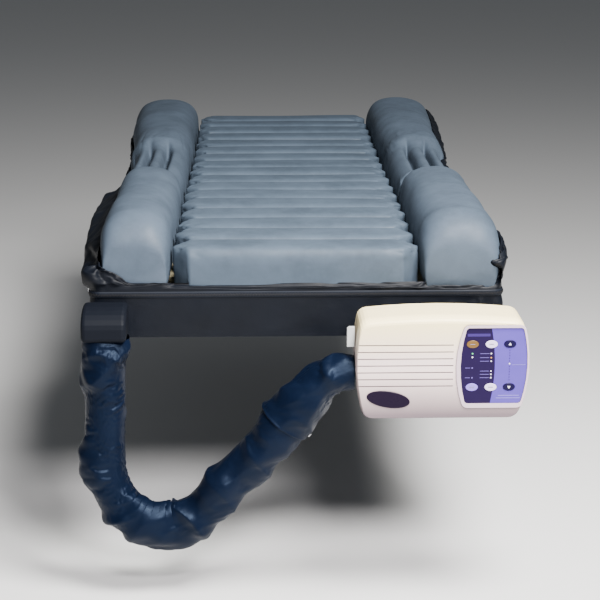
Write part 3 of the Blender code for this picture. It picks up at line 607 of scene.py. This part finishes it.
def make_sleeve(material, snap_material):
    """The limp fabric sleeve round the air tubes: straight-cut fabric that has settled into its own folds."""
    pump_side = (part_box("front_housing")[0].x - 0.0006, *SLEEVE_ROUTE[-1][1:])
    centres, length = resampled(smooth_route(SLEEVE_ROUTE, 0.02) + [Vector(pump_side)], 0.0048)
    around = 100
    along = np.linspace(0.0, length, len(centres))
    neck = smoothstep(length - 0.14, length - 0.01, along)
    belly = bump_at(along, length * 0.47, 0.22)
    radius = SLEEVE_DIAMETER / 2 * (1.02 - 0.27 * neck + 0.09 * belly)
    sleeve = grid_object("hose_sleeve_fabric", tube_points(centres, radius, around), wrap=True)
    co = coordinates(sleeve)
    calm = np.repeat(1.0 - 0.75 * smoothstep(length - 0.05, length - 0.005, along), around)
    falling, rising = folds(co, 0.105, -0.9, 3.0), folds(co, 0.125, 0.75, 8.0)
    small = folds(co, 0.050, 0.2, 5.0)
    displace(sleeve, (0.0095 * falling + 0.0095 * rising + 0.0026 * small + 0.0015) * calm)
    straight = np.stack([np.zeros_like(along), np.zeros_like(along), -along * SLEEVE_LOOSENESS], axis=1)
    cut = tube_points(straight, radius * 0.985, around).reshape(-1, 3)
    core = tube_points(centres[::2], AIR_TUBES_RADIUS - 0.006 * neck[::2], 40)
    inside = grid_object("air_tubes_inside", core, wrap=True)
    ends = 1.0 - smoothstep(0.008, 0.016, along) * smoothstep(0.008, 0.016, length - along)
    pins = np.repeat(np.maximum(ends, 0.15), around)
    crease(sleeve, 8, 0.0, pins, 0.6, 0.6, [inside], cut=cut)
    bpy.data.objects.remove(inside)
    creased = coordinates(sleeve).reshape(len(centres), around, 3)
    set_coordinates(sleeve, sharpen(creased, 0.8).reshape(-1, 3))
    keep_between(sleeve, centres, 0.0350, 0.0630)
    settled = coordinates(sleeve).reshape(len(centres), around, 3)
    subdivide(sleeve)
    set_material(sleeve, material)
    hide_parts("hose_sleeve")
    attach(sleeve, SEAT)
    make_hem(settled, centres, along, length, material, snap_material)


def make_hem(settled, centres, along, length, material, snap_material):
    """The second length of fabric that laps over the sleeve near the pump, with its rolled hem and a snap."""
    start = length - HEM_FROM_PUMP
    first = int(np.searchsorted(along, start))
    away = settled - centres[:, None]
    away /= np.linalg.norm(away, axis=2)[..., None]
    tangent = centres[first + 1] - centres[first]
    tangent /= np.linalg.norm(tangent)
    rings = [settled[first] + away[first] * lift + tangent * back for back, lift in HEM_ROLL]
    for k, i in enumerate(range(first + 1, len(centres) - 1)):
        rings.append(settled[i] + away[i] * (0.0026 - 0.0016 * min(k / 20.0, 1.0)))
    lap = grid_object("sleeve_overlap", np.array(rings), wrap=True)
    subdivide(lap)
    set_material(lap, material)
    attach(lap, SEAT)
    ring = settled[first + 3]
    place = ring[int(np.argmax(ring[:, 0] - ring[:, 2] - 0.6 * ring[:, 1]))]
    out = place - centres[first + 3]
    out /= np.linalg.norm(out)
    turn = Vector(out).to_track_quat("Z", "Y").to_matrix()
    angle = np.linspace(0.0, 2 * math.pi, 24, endpoint=False)
    rows = []
    for radius, height in SNAP_PROFILE:
        flat = np.stack([radius * np.cos(angle), radius * np.sin(angle), np.full(24, height)], axis=1)
        rows.append(flat @ np.array(turn).T + place)
    snap = grid_object("sleeve_snap", np.array(rows), wrap=True, caps=True)
    set_material(snap, snap_material)
    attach(snap, SEAT)


# ---- Mattress ----


def cell_name(number):
    return f"air_cell_{number:02d}"


def make_cell(number, material):
    """One air cell: a flat-topped bar whose ends narrow to a wedge, leaving a notch to its neighbour."""
    low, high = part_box(cell_name(number))
    centre = (low + high) / 2
    half_x, half_y, half_z = (high - low) / 2
    seed = number * 3.7
    wedge = CELL_WEDGE / half_x
    middle = np.linspace(-(1 - wedge), 1 - wedge, 93)
    tip = np.linspace(0.0, 1.0, 9)[1:]
    u = np.concatenate([-(1 - wedge) - wedge * tip[::-1], middle, (1 - wedge) + wedge * tip])
    angle = np.linspace(0.0, 2 * math.pi, 72, endpoint=False)
    y, z = superellipse(angle, 1.0, 1.0, 0.40)
    near_tip = np.clip((np.abs(u) - (1 - wedge)) / wedge, 0.0, 1.0)[:, None]
    width = half_y * (1.0 - 0.80 * near_tip)
    crown = half_z * (1.0 - 0.16 * near_tip**2)
    rows = np.broadcast_to(y[None, :], (len(u), len(y)))
    levels = np.broadcast_to(z[None, :], (len(u), len(z)))
    top = np.where(levels > 0, crown, half_z)
    x = np.broadcast_to((u * half_x)[:, None], rows.shape)
    top = top + np.where(levels > 0, 0.010 * smoothstep(0.1, 0.95, centre.y), 0.0)
    points = np.stack([centre.x + x, centre.y + rows * width, centre.z + levels * top], axis=-1)
    cell = grid_object(cell_name(number) + "_fabric", points, wrap=True, caps=True)
    co = coordinates(cell)
    upper = smoothstep(centre.z - 0.01, centre.z + 0.03, co[:, 2])
    near_end = smoothstep(0.70, 0.93, np.abs(co[:, 0] - centre.x) / half_x)
    slow = fractal(co, (2.0, 6.0, 4.0), 2, (seed, 0.0, 0.0))
    pucker = ridges(co, (9.0, 40.0, 18.0), 2, (seed, 2.0, 5.0))
    droop = 0.0022 * math.sin(seed * 5.0)
    amount = (0.0030 * slow - 0.0010 + droop) * upper - 0.0040 * pucker**3 * near_end
    displace(cell, amount)
    set_material(cell, material)
    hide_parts(cell_name(number))
    if number < FIRST_FOLDING_CELL:
        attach(cell, BACK)
    elif number > LAST_FOLDING_CELL:
        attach(cell, SEAT)
    else:
        bend_over_fold(cell)


def bolster_points(side, y, shape):
    """Grid of points of a bolster. shape holds, one value per row, its top, its outer and inner edges, the
    depth of its lobes, and how far its ends narrow it."""
    top, outer, inner, lobes, narrow = shape
    angle = np.linspace(0.0, 2 * math.pi, 144, endpoint=False)
    points = np.zeros((len(y), len(angle), 3))
    for i in range(len(y)):
        middle, half = (inner[i] + outer[i]) / 2, (outer[i] - inner[i]) / 2 * narrow[i]
        half_z = (top[i] - BOLSTER_BASE) / 2
        x, z = superellipse(angle, half, half_z, 0.74)
        upward = np.clip(z / half_z, 0.0, 1.0)
        across = x / half
        valley = np.exp(-((np.abs(across + 0.28) / 0.095) ** 1.25))
        valley += np.exp(-((np.abs(across - 0.34) / 0.095) ** 1.25))
        valley += 0.6 * np.exp(-((np.abs(across - 0.88) / 0.10) ** 1.25))
        crown = 0.22 * (1.0 - np.minimum(valley, 1.0))
        lower = lobes[i] * (valley - crown) * upward**0.4
        points[i, :, 0] = side * (middle + x)
        points[i, :, 1] = y[i]
        points[i, :, 2] = BOLSTER_BASE + half_z + z - lower
    return points


def rounded_ends(y, low_y, high_y, low_reach, high_reach):
    """1 along the piece, falling in a quarter round at each end."""
    low = np.clip((y - low_y) / low_reach, 0.0, 1.0)
    high = np.clip((high_y - y) / high_reach, 0.0, 1.0)
    near = np.minimum(low, high)
    return np.sqrt(1.0 - (1.0 - near) ** 2)


def even_ends(low, high, count):
    """Rows that crowd towards both ends, where the form turns."""
    t = np.linspace(0.0, 1.0, count)
    return low + (high - low) * (t - 0.085 * np.sin(4 * math.pi * t) / 2 - 0.10 * np.sin(2 * math.pi * t) / 2)


def make_bolster(side, word, material):
    """The head length and the low egress length in one fabric, then the foot length."""
    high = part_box(f"bolster_head_{word}")[1]
    egress_low, egress_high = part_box(f"egress_{word}")
    foot_low, foot_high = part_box(f"bolster_foot_{word}")

    y = even_ends(egress_low.y, high.y, 190)
    ends = rounded_ends(y, egress_low.y, high.y, 0.03, 0.085)
    low_part = smoothstep(egress_high.y + 0.015, egress_high.y - 0.085, y)
    top = BOLSTER_BASE + (high.z - 0.026 * low_part - BOLSTER_BASE) * (0.55 + 0.45 * ends)
    outer = 0.442 + 0.040 * smoothstep(0.15, 0.95, y) - 0.008 * low_part
    lobes = 0.040 * smoothstep(egress_high.y + 0.005, egress_high.y - 0.10, y)
    shape = (top, outer, np.full_like(y, BOLSTER_INNER), lobes, 0.86 + 0.14 * ends)
    head = grid_object(f"bolster_head_{word}_fabric", bolster_points(side, y, shape), wrap=True, caps=True)

    y = even_ends(foot_low.y, foot_high.y + 0.012, 130)
    ends = rounded_ends(y, foot_low.y, foot_high.y + 0.012, 0.09, 0.05)
    top = BOLSTER_BASE + (foot_high.z - BOLSTER_BASE) * (0.60 + 0.40 * ends)
    reach = 0.436 if side < 0 else 0.450
    outer = np.full_like(y, reach)
    shape = (top, outer, np.full_like(y, BOLSTER_INNER), np.zeros_like(y), 0.86 + 0.14 * ends)
    foot = grid_object(f"bolster_foot_{word}_fabric", bolster_points(side, y, shape), wrap=True, caps=True)

    for obj in (head, foot):
        co = coordinates(obj)
        slow = fractal(co, (5.0, 3.5, 5.0), 3, (side * 5.0, 1.0, 3.0))
        dents = fractal(co, (9.0, 6.0, 9.0), 2, (side * 9.0, 4.0, 6.0))
        near_low = bump_at(co[:, 1], egress_high.y + 0.03, 0.10) + bump_at(co[:, 1], egress_low.y, 0.05)
        drawn = ridges(co, (34.0, 7.0, 16.0), 2, (side * 2.0, 7.0, 1.0)) ** 2
        upper = smoothstep(0.10, 0.16, co[:, 2])
        displace(obj, (0.0060 * slow + 0.0012 * dents - 0.0022 * drawn * near_low - 0.001) * upper)
        set_material(obj, material)
    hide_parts(f"bolster_head_{word}", f"egress_{word}")
    bend_over_fold(head)
    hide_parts(f"bolster_foot_{word}")
    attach(foot, SEAT)
    return head, foot


def tub_outline(half_x, low_y, high_y, radius, step):
    """Even points round the tub's plan, with round corners, starting at the foot end's middle."""
    points = []
    corners = ((1, -1), (1, 1), (-1, 1), (-1, -1))
    for sx, sy in corners:
        cx = sx * (half_x - radius)
        cy = (high_y if sy > 0 else low_y) - sy * radius
        start = math.atan2(sy, sx) - math.pi / 4
        for k in range(9):
            a = start + math.pi / 2 * k / 8
            points.append((cx + radius * math.cos(a), cy + radius * math.sin(a), 0.0))
    points.append(points[0])
    line, _ = resampled([Vector(p) for p in points], step)
    return line[:-1]


def keep_outside(co, line, out, rows, furthest):
    """Keeps the walls' points between the tub's own face and a furthest bulge, softly."""
    base = np.tile(line, (rows, 1))
    way = np.tile(out, (rows, 1))
    off = ((co - base) * way).sum(axis=1)
    soft = 0.4 * furthest
    past = np.maximum(off - soft, 0.0)
    room = furthest - soft
    wanted = np.where(past > 0, soft + room * np.tanh(past / room), off)
    wanted = np.where(co[:, 2] < 0.115, np.maximum(wanted, -0.001), wanted)
    return co + way * (wanted - off)[:, None]


def outer_reach(bolsters):
    """A function that says how far out to a side the bolsters reach, at a place along them and a height."""
    trees = []
    for obj in bolsters:
        faces = [tuple(polygon.vertices) for polygon in obj.data.polygons]
        trees.append(BVHTree.FromPolygons([Vector(place) for place in coordinates(obj)], faces))

    def reach(way, y, z):
        hits = [tree.ray_cast(Vector((0.7 * way, y, z)), Vector((-way, 0.0, 0.0)))[0] for tree in trees]
        return max((hit.x * way for hit in hits if hit), default=0.0)

    return reach


def make_tub(material, bolsters):
    """The fabric tub: taut walls below the zip, and above it a loose skirt that bunches by the bolsters."""
    line = tub_outline(HALF_WIDTH - 0.001, FOOT_Y + 0.001, HEAD_Y - 0.001, TUB_CORNER, 0.0088)
    count = len(line)
    along = np.roll(line, -1, axis=0) - np.roll(line, 1, axis=0)
    out = np.stack([along[:, 1], -along[:, 0], np.zeros(count)], axis=1)
    out /= np.linalg.norm(out, axis=1)[:, None]
    side = smoothstep(0.36, 0.45, np.abs(line[:, 0]))
    left_foot = smoothstep(-0.36, -0.45, line[:, 0]) * bump_at(line[:, 1], -0.50, 0.34)
    right = smoothstep(0.36, 0.45, line[:, 0]) * (0.45 + 0.55 * smoothstep(-0.10, 0.45, line[:, 1]))
    wide = fractal(line, (5.0, 5.0, 5.0), 3, (1.0, 2.0, 3.0))
    rise = 0.014 + side * (0.052 + 0.036 * left_foot + 0.055 * right + 0.020 * wide)
    low_levels = np.linspace(0.0, 1.0, 11)
    high_levels = np.linspace(0.0, 1.0, 15)[1:]
    rows = [np.full(count, ZIP_LOW) * level for level in low_levels]
    rows += [np.full(count, (ZIP_LOW + ZIP_HIGH) / 2), np.full(count, ZIP_HIGH)]
    rows += [ZIP_HIGH + rise * (level + 0.10 * math.sin(math.pi * level)) for level in high_levels]
    heights = np.array(rows)
    points = np.tile(line, (len(rows), 1, 1))
    points[:, :, 2] = heights
    level = np.concatenate([np.zeros(len(rows) - len(high_levels)), high_levels])[:, None]
    fullness = side * (0.020 + 0.024 * left_foot + 0.044 * right + 0.010 * wide)
    pouch = np.sin(math.pi * level**0.8) * (0.004 + fullness)
    at_fold = bump_at(line[:, 1], FOLD_Y, 0.22)
    tucked = smoothstep(0.55, 1.0, level) * (0.006 + side * (0.012 + 0.012 * at_fold))
    points += out[None] * (pouch - tucked)[..., None]
    walls = grid_object("tub_walls", points, wrap=True)
    flat = heights.ravel()
    zip_band = (flat > ZIP_LOW - 0.001) & (flat < ZIP_HIGH + 0.001)
    pins = np.where(zip_band | (flat < 0.001), 1.0, 0.0)
    pins[-count:] = 1.0
    place = coordinates(walls)
    valve = sum(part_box("cpr_flange"), Vector()) / 2
    by_valve = np.hypot(place[:, 1] - valve.y, place[:, 2] - valve.z) < FLAT_BY_VALVE
    pins[by_valve & (place[:, 0] < -0.4)] = 1.0
    by_elbow = (np.abs(place[:, 0] - ELBOW_X) < FLAT_BY_ELBOW) & (place[:, 2] < 0.10)
    pins[by_elbow & (place[:, 1] < FOOT_Y + 0.01)] = 1.0
    sideways = np.tile(side, len(rows))
    loose = np.where(flat > ZIP_HIGH, 0.30 + 0.70 * sideways, 0.10 + 0.12 * sideways)
    start = fractal(coordinates(walls), (15.0, 15.0, 22.0), 2, (8.0, 3.0, 1.0))
    moved = np.where(pins > 0.5, 0.0, 0.0030 * start * (0.3 + 0.7 * sideways))
    displace(walls, moved)
    crease(walls, 20, TUB_LOOSENESS, pins, 0.12, 0.5, bolsters, loose)
    furthest = np.tile(0.014 + 0.018 * side + 0.014 * left_foot + 0.034 * right, len(rows))
    crisp = sharpen(coordinates(walls).reshape(len(rows), count, 3), 0.8).reshape(-1, 3)
    crisp[pins > 0.5] = coordinates(walls)[pins > 0.5]
    co = keep_outside(crisp, line, out, len(rows), furthest)
    co[:, 2] = np.maximum(co[:, 2], 0.0004)
    reach = outer_reach(bolsters)
    levels = np.repeat(level[:, 0], count)
    bulk = np.tile(0.009 + 0.030 * left_foot + 0.018 * right, len(rows)) * np.sin(math.pi * levels) ** 0.7
    bulk *= 0.25 + 0.75 * ridges(co, (26.0, 16.0, 22.0), 2, (4.0, 1.0, 7.0))
    for i in np.flatnonzero((co[:, 2] > ZIP_HIGH) & (np.abs(co[:, 0]) > 0.38)):
        way = math.copysign(1.0, co[i, 0])
        clear = reach(way, co[i, 1], co[i, 2])
        if clear > 0.38:
            co[i, 0] = way * max(abs(co[i, 0]), clear + 0.003 + bulk[i])
    set_coordinates(walls, co)
    subdivide(walls)
    set_material(walls, material)
    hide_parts("tub_back", "tub_seat")
    bend_over_fold(walls)
    floor_rows = np.linspace(FOOT_Y + 0.004, HEAD_Y - 0.004, 160)
    floor_columns = np.linspace(-HALF_WIDTH + 0.004, HALF_WIDTH - 0.004, 60)
    x, y = np.meshgrid(floor_columns, floor_rows)
    floor = grid_object("tub_floor", np.stack([x, y, np.full_like(x, 0.0006)], axis=-1))
    set_material(floor, material)
    bend_over_fold(floor)
    return line, out


def make_zip(line, out, tape_material, teeth_material):
    """The zip round the tub: a flat tape with a row of moulded teeth along its middle."""
    levels = np.array([0.0900, 0.0905, 0.0935, 0.1005, 0.1035, 0.1040])
    proud = np.array([0.0008, 0.0016, 0.0020, 0.0020, 0.0016, 0.0008])
    points = np.tile(line, (len(levels), 1, 1)) + out[None] * proud[:, None, None]
    points[:, :, 2] = levels[:, None]
    tape = grid_object("zip_tape_cloth", points, wrap=True)
    set_material(tape, tape_material)
    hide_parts("zip_tape_back", "zip_tape_seat")
    bend_over_fold(tape)
    fine, _ = resampled([Vector(p) for p in line] + [Vector(line[0])], 0.0034)
    fine = fine[:-1]
    run = np.roll(fine, -1, axis=0) - np.roll(fine, 1, axis=0)
    away = np.stack([run[:, 1], -run[:, 0], np.zeros(len(fine))], axis=1)
    away /= np.linalg.norm(away, axis=1)[:, None]
    run /= np.linalg.norm(run, axis=1)[:, None]
    corners, faces = [], []
    cube = ((0, 1, 3, 2), (4, 6, 7, 5), (0, 4, 5, 1), (2, 3, 7, 6), (0, 2, 6, 4), (1, 5, 7, 3))
    for i, place in enumerate(fine):
        middle = place + away[i] * 0.0026 + np.array([0.0, 0.0, 0.097 + (0.0007 if i % 2 else -0.0007)])
        base = len(corners)
        for a, b, c in itertools.product((-1, 1), repeat=3):
            corners.append(middle + run[i] * 0.0010 * a + away[i] * 0.0009 * b + np.array([0, 0, 0.0021 * c]))
        faces += [[base + k for k in face] for face in cube]
    mesh = bpy.data.meshes.new("zip_teeth")
    mesh.from_pydata([tuple(c) for c in corners], [], faces)
    teeth = bpy.data.objects.new("zip_teeth", mesh)
    bpy.context.scene.collection.objects.link(teeth)
    set_material(teeth, teeth_material)
    bend_over_fold(teeth)


def make_foam(material):
    """The foam base in one piece over the fold, with the air line's channel and the manifold's notch."""
    low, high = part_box("foam_seat")
    top, bottom = high.z, low.z
    low_y, high_y = low.y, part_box("foam_back")[1].y
    ease = TUB_CORNER * np.linspace(0, 1, 9) ** 2
    rows = np.concatenate([low_y + ease, np.linspace(low_y, high_y, 180)[4:-4], high_y - ease[::-1]])
    from_end = np.clip(np.minimum(rows - low_y, high_y - rows), 0.0, TUB_CORNER)
    inset = TUB_CORNER - np.sqrt(TUB_CORNER**2 - (TUB_CORNER - from_end) ** 2)
    line_low, line_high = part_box("air_line_seat")
    side_gap = 0.003
    left, right = line_low.x - side_gap, line_high.x + side_gap
    manifold_low, manifold_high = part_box("air_manifold")
    notch = rows < manifold_high.y + side_gap
    trench = np.where(notch, manifold_low.z, line_low.z) - 0.002
    beside = np.where(notch, trench, top)
    edges = (low.x + inset, high.x - inset, high.x - inset, right, right, left, left, low.x + inset)
    levels = (bottom, bottom, top, top, trench, trench, beside, beside)
    points = np.zeros((len(rows), len(edges), 3))
    points[:, :, 1] = rows[:, None]
    for k, (x, z) in enumerate(zip(edges, levels)):
        points[:, k, 0] = x
        points[:, k, 2] = z
    foam = grid_object("foam_base", points, wrap=True, caps=True)
    for polygon in foam.data.polygons:
        polygon.use_smooth = False
    set_material(foam, material)
    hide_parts("foam_back", "foam_seat")
    bend_over_fold(foam)


def make_air_line(material):
    """The twin air line in the foam's channel, running across the fold."""
    low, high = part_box("air_line_seat")
    end_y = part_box("air_line_back")[1].y
    radius = (high.z - low.z) / 2 * 0.96
    rows = np.linspace(low.y, end_y, 220)
    for word, x in (("left", low.x + radius), ("right", high.x - radius)):
        centres = np.stack([np.full_like(rows, x), rows, np.full_like(rows, (low.z + high.z) / 2)], axis=1)
        angle = np.linspace(0.0, 2 * math.pi, 20, endpoint=False)
        ring = np.stack([np.cos(angle), np.zeros(20), np.sin(angle)], axis=1) * radius
        tube = grid_object(f"air_line_{word}_tube", centres[:, None] + ring[None], wrap=True, caps=True)
        set_material(tube, material)
        if word == "left":
            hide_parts("air_line_back", "air_line_seat", "air_line_bridge")
        bend_over_fold(tube)


# ---- Pump details ----


def make_mark(name, outline, front_y, material, body, thickness=0.00035):
    """A thin raised mark on the pump's front, from an outline of (x, z) places."""
    count = len(outline)
    vertices = [(x, front_y - thickness, z) for x, z in outline] + [(x, front_y, z) for x, z in outline]
    faces = [tuple(range(count)), tuple(range(2 * count - 1, count - 1, -1))]
    faces += [(i, i + count, (i + 1) % count + count, (i + 1) % count) for i in range(count)]
    mesh = bpy.data.meshes.new(name)
    mesh.from_pydata(vertices, [], faces)
    mesh.update()
    mark = bpy.data.objects.new(name, mesh)
    bpy.context.scene.collection.objects.link(mark)
    set_material(mark, material)
    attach(mark, body)
    return mark


def disc_outline(x, z, radius, count=20):
    turns = [2 * math.pi * i / count for i in range(count)]
    return [(x + radius * math.cos(turn), z + radius * math.sin(turn)) for turn in turns]


def bar_outline(left, right, z, half_height):
    low, high = z - half_height, z + half_height
    return [(left, low), (right, low), (right, high), (left, high)]


def middle_of(node):
    low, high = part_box(node)
    return (low.x + high.x) / 2, (low.z + high.z) / 2, low.y


def make_pump_marks():
    """Lamps, guide lines and arrows on the control panel. The real panel's words are left as plain lines."""
    white = moulded("mark_white", (0.75, 0.72, 0.85), 0.35)
    pale = moulded("mark_lavender", (0.11, 0.080, 0.27), 0.35, gloss=0.12)
    faint = moulded("mark_faint", (0.19, 0.15, 0.50), 0.35, gloss=0.12)
    dark = moulded("mark_indigo", (0.020, 0.010, 0.080), 0.35)
    amber = moulded("lamp_amber", (0.60, 0.28, 0.03), 0.25)
    green = moulded("lamp_green", (0.10, 0.50, 0.20), 0.25)
    grey = moulded("mark_grey", (0.20, 0.18, 0.27), 0.4)
    dim = moulded("mark_dim", (0.035, 0.020, 0.115), 0.4, gloss=0.12)
    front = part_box("control_panel")[0].y
    first_x, second_x, third_x = (middle_of("button_" + word)[0] for word in ("power", "mode", "down"))
    for i, (z, material) in enumerate(((0.0114, green), (0.0034, white), (-0.0201, pale), (-0.0416, pale))):
        make_mark(f"lamp_first_{i + 1}", disc_outline(first_x, z, 0.0017), front, material, SEAT)
    for i, z in enumerate((-0.0201, -0.0416)):
        outline = bar_outline(first_x - 0.0150, first_x - 0.0045, z, 0.0006)
        make_mark(f"guide_first_{i + 1}", outline, front, pale, SEAT)
    for i, z in enumerate((0.0114, 0.0026, -0.0053, -0.0271, -0.0342, -0.0416)):
        lamp = amber if i == 1 else white
        make_mark(f"lamp_second_{i + 1}", disc_outline(second_x, z, 0.0015), front, lamp, SEAT)
        outline = bar_outline(second_x - 0.0235, second_x - 0.0045, z, 0.0006)
        make_mark(f"guide_second_{i + 1}", outline, front, pale, SEAT)
    steps = 12
    for i in range(steps):
        z = 0.0185 - i * (0.0185 + 0.0465) / (steps - 1)
        lit = i == 5
        outline = disc_outline(third_x, z, 0.0016 if lit else 0.0011)
        make_mark(f"lamp_third_{i + 1}", outline, front, white if lit else dark, SEAT)
    bars = (
        ("guide_third", (third_x + 0.0055, third_x + 0.0340, -0.0136, 0.0005), faint),
        ("title_band", (first_x - 0.0110, second_x - 0.0030, 0.0520, 0.0030), dim),
        ("foot_line_1", (0.4230, 0.4680, -0.0812, 0.0008), faint),
        ("foot_line_2", (0.4190, 0.4700, -0.0868, 0.0008), faint),
    )
    for name, bar, material in bars:
        make_mark(name, bar_outline(*bar), front, material, SEAT)
    for node, way in (("button_up", 1), ("button_down", -1)):
        x, z, y = middle_of(node)
        outline = [(x - 0.0032, z - 0.0020 * way), (x + 0.0032, z - 0.0020 * way), (x, z + 0.0034 * way)]
        make_mark("arrow_" + node.split("_")[1], outline[::way], y, white, node)
    for node in ("button_power", "button_mode", "button_silence", "button_lock"):
        x, z, y = middle_of(node)
        outline = bar_outline(x - 0.0050, x + 0.0050, z, 0.0007)
        make_mark("line_on_" + node.split("_")[1], outline, y, grey, node)


def make_pump_materials():
    """New materials for the CAD nodes that stay."""
    casing = casing_material("warm_ivory_casing")
    bezel = moulded("pale_rim", (0.52, 0.41, 0.47), 0.28, 0.06, 0.02)
    grey = moulded("light_grey_plastic", (0.42, 0.43, 0.43), 0.36)
    black = moulded("black_plastic", (0.016, 0.016, 0.018), 0.42)
    dark = moulded("dark_fitting", (0.0030, 0.0040, 0.0070), 0.60, 0.2, gloss=0.08)
    steel = moulded("plated_steel", (0.60, 0.61, 0.63), 0.28, 0.05, 0.05, 1.0)
    white_key = moulded("white_key", (0.62, 0.55, 0.78), 0.30)
    blue_key = moulded("dark_blue_key", (0.0055, 0.0025, 0.028), 0.30, gloss=0.12)
    assigned = {
        "front_housing": casing,
        "rear_housing": casing,
        "panel_bezel": bezel,
        "control_panel": printed_panel("panel_film"),
        "badge_plate": moulded("dark_purple_badge", (0.0060, 0.0020, 0.0110), 0.30, 0.02, 0.1, gloss=0.10),
        "button_power": moulded("orange_key", (0.13, 0.066, 0.014), 0.32),
        "button_mode": white_key,
        "button_silence": white_key,
        "button_up": blue_key,
        "button_down": blue_key,
        "button_lock": moulded("lavender_key", (0.22, 0.15, 0.60), 0.32),
        "hose_release_lever": grey,
        "hose_connector": grey,
        "hose_elbow": dark,
        "air_manifold": dark,
        "cpr_flange": black,
        "cpr_knob": moulded("red_knob", (0.50, 0.02, 0.015), 0.34, 0.08),
        "hook_left": steel,
        "hook_right": steel,
        "hook_bracket": steel,
        "zip_slider": steel,
        "power_inlet": black,
        "power_switch": black,
        "rear_bumper": moulded("bumper_rubber", (0.018, 0.018, 0.018), 0.75, 0.3),
        "compressor": moulded("cast_motor", (0.42, 0.43, 0.45), 0.5, 0.4, 0.1, 1.0),
        "rotary_valve": moulded("valve_plastic", (0.70, 0.69, 0.65), 0.45),
        "circuit_board": moulded("board_green", (0.015, 0.13, 0.05), 0.45),
    }
    for node, material in assigned.items():
        set_material(frame["nodes"][node], material)


# ---- Assembly ----

make_camera()
make_stage()
snap_metal = moulded("snap_metal", (0.55, 0.56, 0.58), 0.3, 0.05, 0.05, 1.0)
make_sleeve(woven("navy_sleeve", (0.0017, 0.0038, 0.0112), 0.38, 0.12, 0.14, (0.50, 0.68, 1.0)), snap_metal)
cell_fabric = woven("blue_grey_cells", (0.046, 0.063, 0.086), 0.55, 0.15, 0.10)
bolster_fabric = woven("blue_grey_bolsters", (0.046, 0.062, 0.085), 0.55, 0.15, 0.10)
for number in range(1, CELL_COUNT + 1):
    make_cell(number, cell_fabric)
bolsters = [*make_bolster(-1, "left", bolster_fabric), *make_bolster(1, "right", bolster_fabric)]
navy = woven("dark_navy_tub", (0.0022, 0.0032, 0.0060), 0.50, 0.14, 0.20)
wall_line, wall_out = make_tub(navy, bolsters)
zip_tape = woven("zip_tape_navy", (0.005, 0.007, 0.012), 0.6, 0.15, 0.05)
make_zip(wall_line, wall_out, zip_tape, moulded("zip_teeth", (0.012, 0.012, 0.014), 0.4))
make_foam(foam_material("cream_foam", (0.50, 0.44, 0.28)))
make_air_line(moulded("grey_tubing", (0.30, 0.33, 0.35), 0.30))
make_pump_materials()
make_pump_marks()
